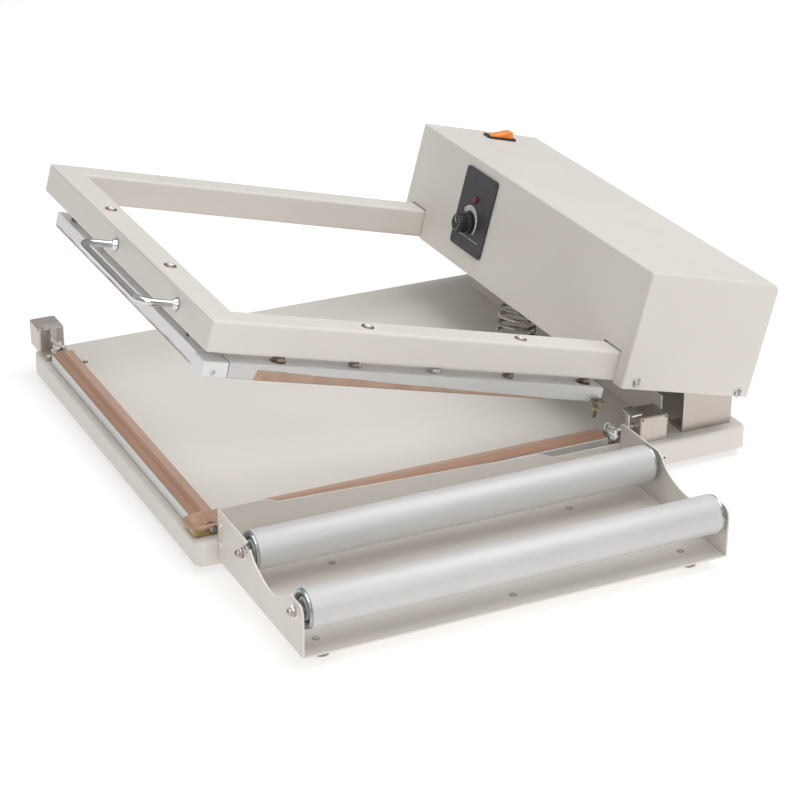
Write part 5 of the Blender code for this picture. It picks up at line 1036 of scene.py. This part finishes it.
def build_tension_unit(name, place, outward, side):
    """Clamp screws, wire eye, base screws, and dark discs painted as shade in the rivet holes, of one wire
    tension unit.
    """
    unit = unit_matrix(place, outward)
    body = f"{name}_hook"
    for label, (x, z), size, metal in (
        ("clamp_screw", CLAMP_SCREW_PLACE, CLAMP_SCREW, "bearing"),
        ("clamp_screw_low", LOW_CLAMP_SCREW_PLACE, LOW_CLAMP_SCREW, "zinc"),
    ):
        turn = unit @ facing((x, side * CLAMP_FACE, z), (0, side, 0))
        pan_head(f"{name}_{label}", *size, turn, body, metal)
    top = CLAMP_TOP
    turn = unit @ facing((CLAMP_TOP_SCREW_X, 0, top), UP, REARWARD)
    pan_head(f"{name}_clamp_top_screw", *CLAMP_TOP_SCREW, turn, body, "bright")
    across, rise = EYE_RADII
    loop = []
    for step in range(EYE_STEPS + 1):
        angle = math.radians(-70 + 300 * step / EYE_STEPS)
        loop.append((EYE_CENTRE_X + across * math.sin(angle), side * EYE_LEAN * step / EYE_STEPS,
                     top + rise - rise * math.cos(angle)))
    loop += [(0.0018, side * 0.0012, top + 0.0006), (0.0004, side * 0.0030, top - 0.0006)]
    wire_piece(f"{name}_wire_eye", loop, EYE_WIRE, "bright", body, unit)
    x, y, z = BASE_SCREW_PLACE
    for index, end in enumerate((1, -1)):
        turn = unit @ facing((x, end * y, z), UP, REARWARD)
        pan_head(f"{name}_base_screw_{index}", *BASE_SCREW, turn, "base", "bright")
    # Dark discs on both faces of the block, where its holes are: painted shade standing in for their depth.
    half, height = BLOCK_HOLE_PLACE
    for face in (-1, 1):
        for index, x in enumerate(BLOCK_HOLES_X):
            turn = unit @ facing((x, face * half, height), (0, face, 0))
            turned_piece(f"{name}_hole_{face + 1}_{index}", BLOCK_HOLE, "dark", "base", turn, 16)


def build_corner_wrap(low, high):
    """Brown tape that hangs over the corner block's edges, loose at its front."""
    path = []
    for step in range(WRAP_STEPS + 1):
        x = low[0] + 0.0006 + (high[0] - low[0] - 0.0004) * (step / WRAP_STEPS)
        path.append((x, low[1] - SEAT_GAP, (0, -1)))
    for step in range(1, WRAP_BEND_STEPS):
        angle = math.radians(90 * step / WRAP_BEND_STEPS)
        path.append((high[0] + SEAT_GAP * math.sin(angle), low[1] - SEAT_GAP * math.cos(angle),
                     (math.sin(angle), -math.cos(angle))))
    for step in range(WRAP_STEPS + 1):
        y = low[1] + 0.0004 + (high[1] - low[1] - 0.001) * (step / WRAP_STEPS)
        path.append((high[0] + SEAT_GAP, y, (1, 0)))
    rows = []
    for down, bulge in WRAP_ROWS:
        row = []
        for index, (x, y, (out_x, out_y)) in enumerate(path):
            share = index / (len(path) - 1)
            front = max(0.0, 1 - share * 2.2)
            hang = 0.0040 + 0.0042 * front + 0.0009 * math.sin(19 * share) + 0.0005 * math.sin(47 * share)
            z = high[2] + 0.0001 - hang * down if down else high[2] + 0.00022
            push = bulge
            if bulge > 0:
                wave = 0.0003 * math.sin(31 * share + 5 * down)
                push = max(bulge * (0.25 + 0.75 * front) + wave, bulge)
            row.append((x + out_x * push, y + out_y * push, z))
        rows.append(row)
    sheet_piece("corner_wrap", rows, "tape_plain", "base", TAPE_THICKNESS)


def build_corner_cover(low, high):
    """Creased tape over the ends of both cover tapes, on the corner block."""
    rows = []
    for down in range(COVER_STEPS + 1):
        row = []
        y = low[1] - 0.0002 + (high[1] - low[1] + 0.0006) * down / COVER_STEPS
        ridge = COVER_RIDGE * max(0.0, 1 - abs(y - FRONT_UNIT[1]) / COVER_RIDGE_HALF) ** 0.8
        for step in range(COVER_STEPS + 1):
            x = high[0] + SEAT_GAP - (high[0] - low[0] - COVER_INSET) * step / COVER_STEPS
            x += 0.0008 * noise.noise(Vector((3.0, y * 260, 1.0))) * step / COVER_STEPS
            inside = min(y - low[1] + 0.0002, high[0] + SEAT_GAP - x)
            crease = noise.noise(Vector((x * 210, y * 330, 5.0)))
            drop = COVER_DROP * max(0.0, 1 - inside / COVER_DROP_WIDTH)
            row.append((x, y, high[2] + COVER_LIFT + ridge + COVER_CREASE * crease - drop))
        rows.append(row)
    sheet_piece("corner_cover", rows, "tape_plain", "base", TAPE_THICKNESS)
    turn = facing((high[0], low[1] + 0.0165, low[2] + 0.0058), (1, 0, 0))
    pan_head("corner_screw", *CORNER_SCREW, turn, "base", "bearing")


def build_table_fittings():
    """Lead bush, cradle rivets and the nuts on the roller axles."""
    x, y, z = LEAD_PLACE
    washer("lead_bush", *LEAD_BUSH, facing(LEAD_PLACE, UP, REARWARD), "base", "bronze")
    wire_piece("lead_stub", [(x, y, z - 0.002), (x, y, z + 0.0012), (x - 0.0006, y + 0.0006, z + 0.0026),
                             (x - 0.0018, y + 0.0018, z + 0.0032)], 0.0008, "bright", "base")
    ends = (("front", CRADLE_FRONT_Y, -1), ("rear", CRADLE_REAR_Y, 1))
    for end, face, side in ends:
        for index in range(2):
            spot = (CRADLE_BACK_X + CRADLE_RIVET_INSET, face, TABLE_TOP + index * CRADLE_RIVET_PITCH)
            turned_piece(f"cradle_rivet_{end}_{index}", CRADLE_RIVET, "bright", "base",
                         facing(spot, (0, side, 0)), 24)
    for name in ("inner", "outer"):
        centre = middle(f"roller_{name}_axle")
        for end, face, side in ends:
            turn = facing((centre.x, face, centre.z), (0, side, 0))
            turned_piece(f"axle_dome_{name}_{end}", AXLE_DOME, "copper_tint", "base", turn)
            hex_nut(f"axle_nut_{name}_{end}", *AXLE_NUT,
                    turn @ Matrix.Translation((0, 0, AXLE_WASHER[2])), "base", "copper_tint")
            washer(f"axle_washer_{name}_{end}", *AXLE_WASHER, turn, "base", "bright")


def build_tray_screws():
    for index, (x, y) in enumerate(TRAY_SCREWS):
        turn = facing((x, y, TRAY_FLOOR_Z), UP, REARWARD)
        pan_head(f"tray_screw_{index}", *TRAY_SCREW, turn, "base", "tray_screw")
        washer(f"tray_washer_{index}", *TRAY_WASHER, turn, "base", "bronze")


def build_rollers():
    """Smooth tube with eased ends on each roller."""
    for name in ("inner", "outer"):
        low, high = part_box(f"roller_{name}")
        radius = (high[0] - low[0]) / 2
        half = (high[1] - low[1]) / 2
        bore = radius - ROLLER_WALL
        ease, part = ROLLER_EASE, ROLLER_EASE * ROLLER_EASE_SHARE
        profile = [(bore, -half), (radius - ease, -half), (radius - part, -half + part),
                   (radius, -half + ease), (radius, half - ease), (radius - part, half - part),
                   (radius - ease, half), (bore, half), (bore, -half)]
        turn = facing(middle(f"roller_{name}"), REARWARD)
        tube = turned_piece(f"roller_tube_{name}", profile, "roller", f"{name}_roller", turn, 128)
        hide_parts(f"roller_{name}")


def build_roller_ends():
    """Bright race and dark seal in each roller's bearing."""
    for name in ("inner", "outer"):
        for end, side in (("front", -1), ("rear", 1)):
            low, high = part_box(f"roller_{name}_cap_{end}")
            centre = ((low[0] + high[0]) / 2, low[1] if side < 0 else high[1], (low[2] + high[2]) / 2)
            turn = facing(centre, (0, side, 0))
            turned_piece(f"race_{name}_{end}", BEARING_RACE, "bright", f"{name}_roller", turn, 40)
            turned_piece(f"seal_{name}_{end}", BEARING_SEAL, "bearing_dark", f"{name}_roller", turn, 40)


def build_cover_tape(node, along, material, corner_end):
    """Tape on a lower bar with lengthwise ripples and creases towards the corner."""
    across = 1 - along
    low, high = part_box(node)
    shape = bmesh.new()
    shape.from_mesh(NODES[node].data)
    for axis, count in ((along, TAPE_CUTS_ALONG), (across, TAPE_CUTS_ACROSS)):
        for step in range(1, count):
            place, normal = [0, 0, 0], [0, 0, 0]
            place[axis] = low[axis] + (high[axis] - low[axis]) * step / count
            normal[axis] = 1
            parts = shape.verts[:] + shape.edges[:] + shape.faces[:]
            bmesh.ops.bisect_plane(shape, geom=parts, dist=1e-7, plane_co=place, plane_no=normal)
    shape.normal_update()
    for vert in shape.verts:
        if vert.normal.z < 0.3:
            continue
        place, offset = vert.co[along], vert.co[across]
        length_share = (place - low[along]) / (high[along] - low[along])
        width_share = (offset - low[across]) / (high[across] - low[across])
        near = length_share if corner_end > 0 else 1 - length_share
        fade = min(1.0, 10 * width_share * (1 - width_share))
        fade *= min(1.0, 60 * length_share * (1 - length_share))
        ripple = 0.5 + 0.5 * noise.noise(Vector((place * 26, offset * 420, along * 7)))
        crease = max(0.0, noise.noise(Vector((place * 70 + offset * 330, offset * 190, 3 + along))))
        crease *= max(0.0, near - TAPE_CREASE_START_SHARE) / (1 - TAPE_CREASE_START_SHARE)
        vert.co.z += fade * (TAPE_RIPPLE * ripple + TAPE_CREASE * crease)
    piece = finish_piece(f"{node}_cloth", shape, material, "base", None, 50)
    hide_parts(node)


# Stage


def build_stage():
    """Pale floor that glows a little, so that it stays white under the object."""
    floor_mesh = bpy.data.meshes.new("floor")
    shape = bmesh.new()
    bmesh.ops.create_grid(shape, x_segments=1, y_segments=1, size=FLOOR_SIZE / 2)
    shape.to_mesh(floor_mesh)
    shape.free()
    floor = add_object("floor", floor_mesh)
    n = Nodes("floor_white", roughness=0.9)
    n.set("Base Color", (*BACKDROP_COLOUR, 1.0)).set("Specular IOR Level", 0.1)
    n.set("Emission Color", (1.0, 1.0, 1.0, 1.0)).set("Emission Strength", FLOOR_GLOW)
    floor_mesh.materials.append(n.material)


def build_sky():
    """White sky, darker towards the horizon except where it is seen directly."""
    world = bpy.data.worlds.new("studio")
    world.use_nodes = True
    tree = world.node_tree
    nodes = tree.nodes
    background = nodes["Background"]
    background.inputs["Color"].default_value = (1.0, 1.0, 1.0, 1.0)
    parts = nodes.new("ShaderNodeSeparateXYZ")
    rise = nodes.new("ShaderNodeMapRange")
    rise.inputs["From Max"].default_value = SKY_RISE_END
    rise.inputs["To Min"].default_value = SKY_LOW
    rise.inputs["To Max"].default_value = SKY_HIGH
    seen = nodes.new("ShaderNodeMix")
    seen.data_type = "FLOAT"
    seen.inputs[3].default_value = BACKDROP_GLOW
    for output, socket in (
        (nodes.new("ShaderNodeTexCoord").outputs["Generated"], parts.inputs["Vector"]),
        (parts.outputs["Z"], rise.inputs["Value"]),
        (nodes.new("ShaderNodeLightPath").outputs["Is Camera Ray"], seen.inputs[0]),
        (rise.outputs["Result"], seen.inputs[2]),
        (seen.outputs[0], background.inputs["Strength"]),
    ):
        tree.links.new(output, socket)
    bpy.context.scene.world = world


def area_light(name, place, target, size, power, colour):
    light = bpy.data.lights.new(name, "AREA")
    light.shape = "RECTANGLE"
    light.size, light.size_y = size
    light.energy = power
    light.color = colour
    item = add_object(name, light)
    item.location = place
    aim = Vector(target) - Vector(place)
    item.rotation_euler = aim.to_track_quat("-Z", "Y").to_euler()


def build_camera():
    low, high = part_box("table_pan")
    origin = Vector(((low[0] + high[0]) / 2, (low[1] + high[1]) / 2, high[2]))
    target = origin + Vector(CAMERA_TARGET)
    az, el, roll = CAMERA_AZIMUTH, CAMERA_ELEVATION, CAMERA_ROLL
    forward = Vector((-math.sin(az) * math.cos(el), math.cos(az) * math.cos(el), -math.sin(el)))
    right = Vector((math.cos(az), math.sin(az), 0))
    up = right.cross(forward)
    right_rolled = right * math.cos(roll) + up * math.sin(roll)
    up_rolled = up * math.cos(roll) - right * math.sin(roll)
    turn = Matrix((right_rolled, up_rolled, -forward)).transposed()
    lens = bpy.data.cameras.new("camera")
    lens.sensor_width = SENSOR
    lens.lens = SENSOR * CAMERA_FOCAL_SHARE
    lens.clip_end = CAMERA_FAR
    camera = add_object("camera", lens)
    camera.matrix_world = Matrix.Translation(target - forward * CAMERA_DISTANCE) @ turn.to_4x4()
    bpy.context.scene.camera = camera


MATERIALS = make_materials()
paint_nodes(MATERIALS)
build_dial()
build_knob()
build_rocker()
build_arm_fasteners()
build_handle()
build_actuator()
build_jaw_tapes()
build_tension_unit("front", FRONT_UNIT, (-1, 0, 0), 1)
build_tension_unit("side", SIDE_UNIT, (0, 1, 0), -1)
build_corner_wrap(*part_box("corner_block"))
build_corner_cover(*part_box("corner_block"))
build_table_fittings()
build_tray_screws()
build_rollers()
build_roller_ends()
build_cover_tape("front_tape", 0, "tape_x", 1)
build_cover_tape("side_tape", 1, "tape_y", -1)
build_stage()
build_sky()
for light in LIGHTS:
    area_light(*light)
build_camera()
bpy.context.scene.view_settings.view_transform = "Standard"

bpy.context.view_layer.update()
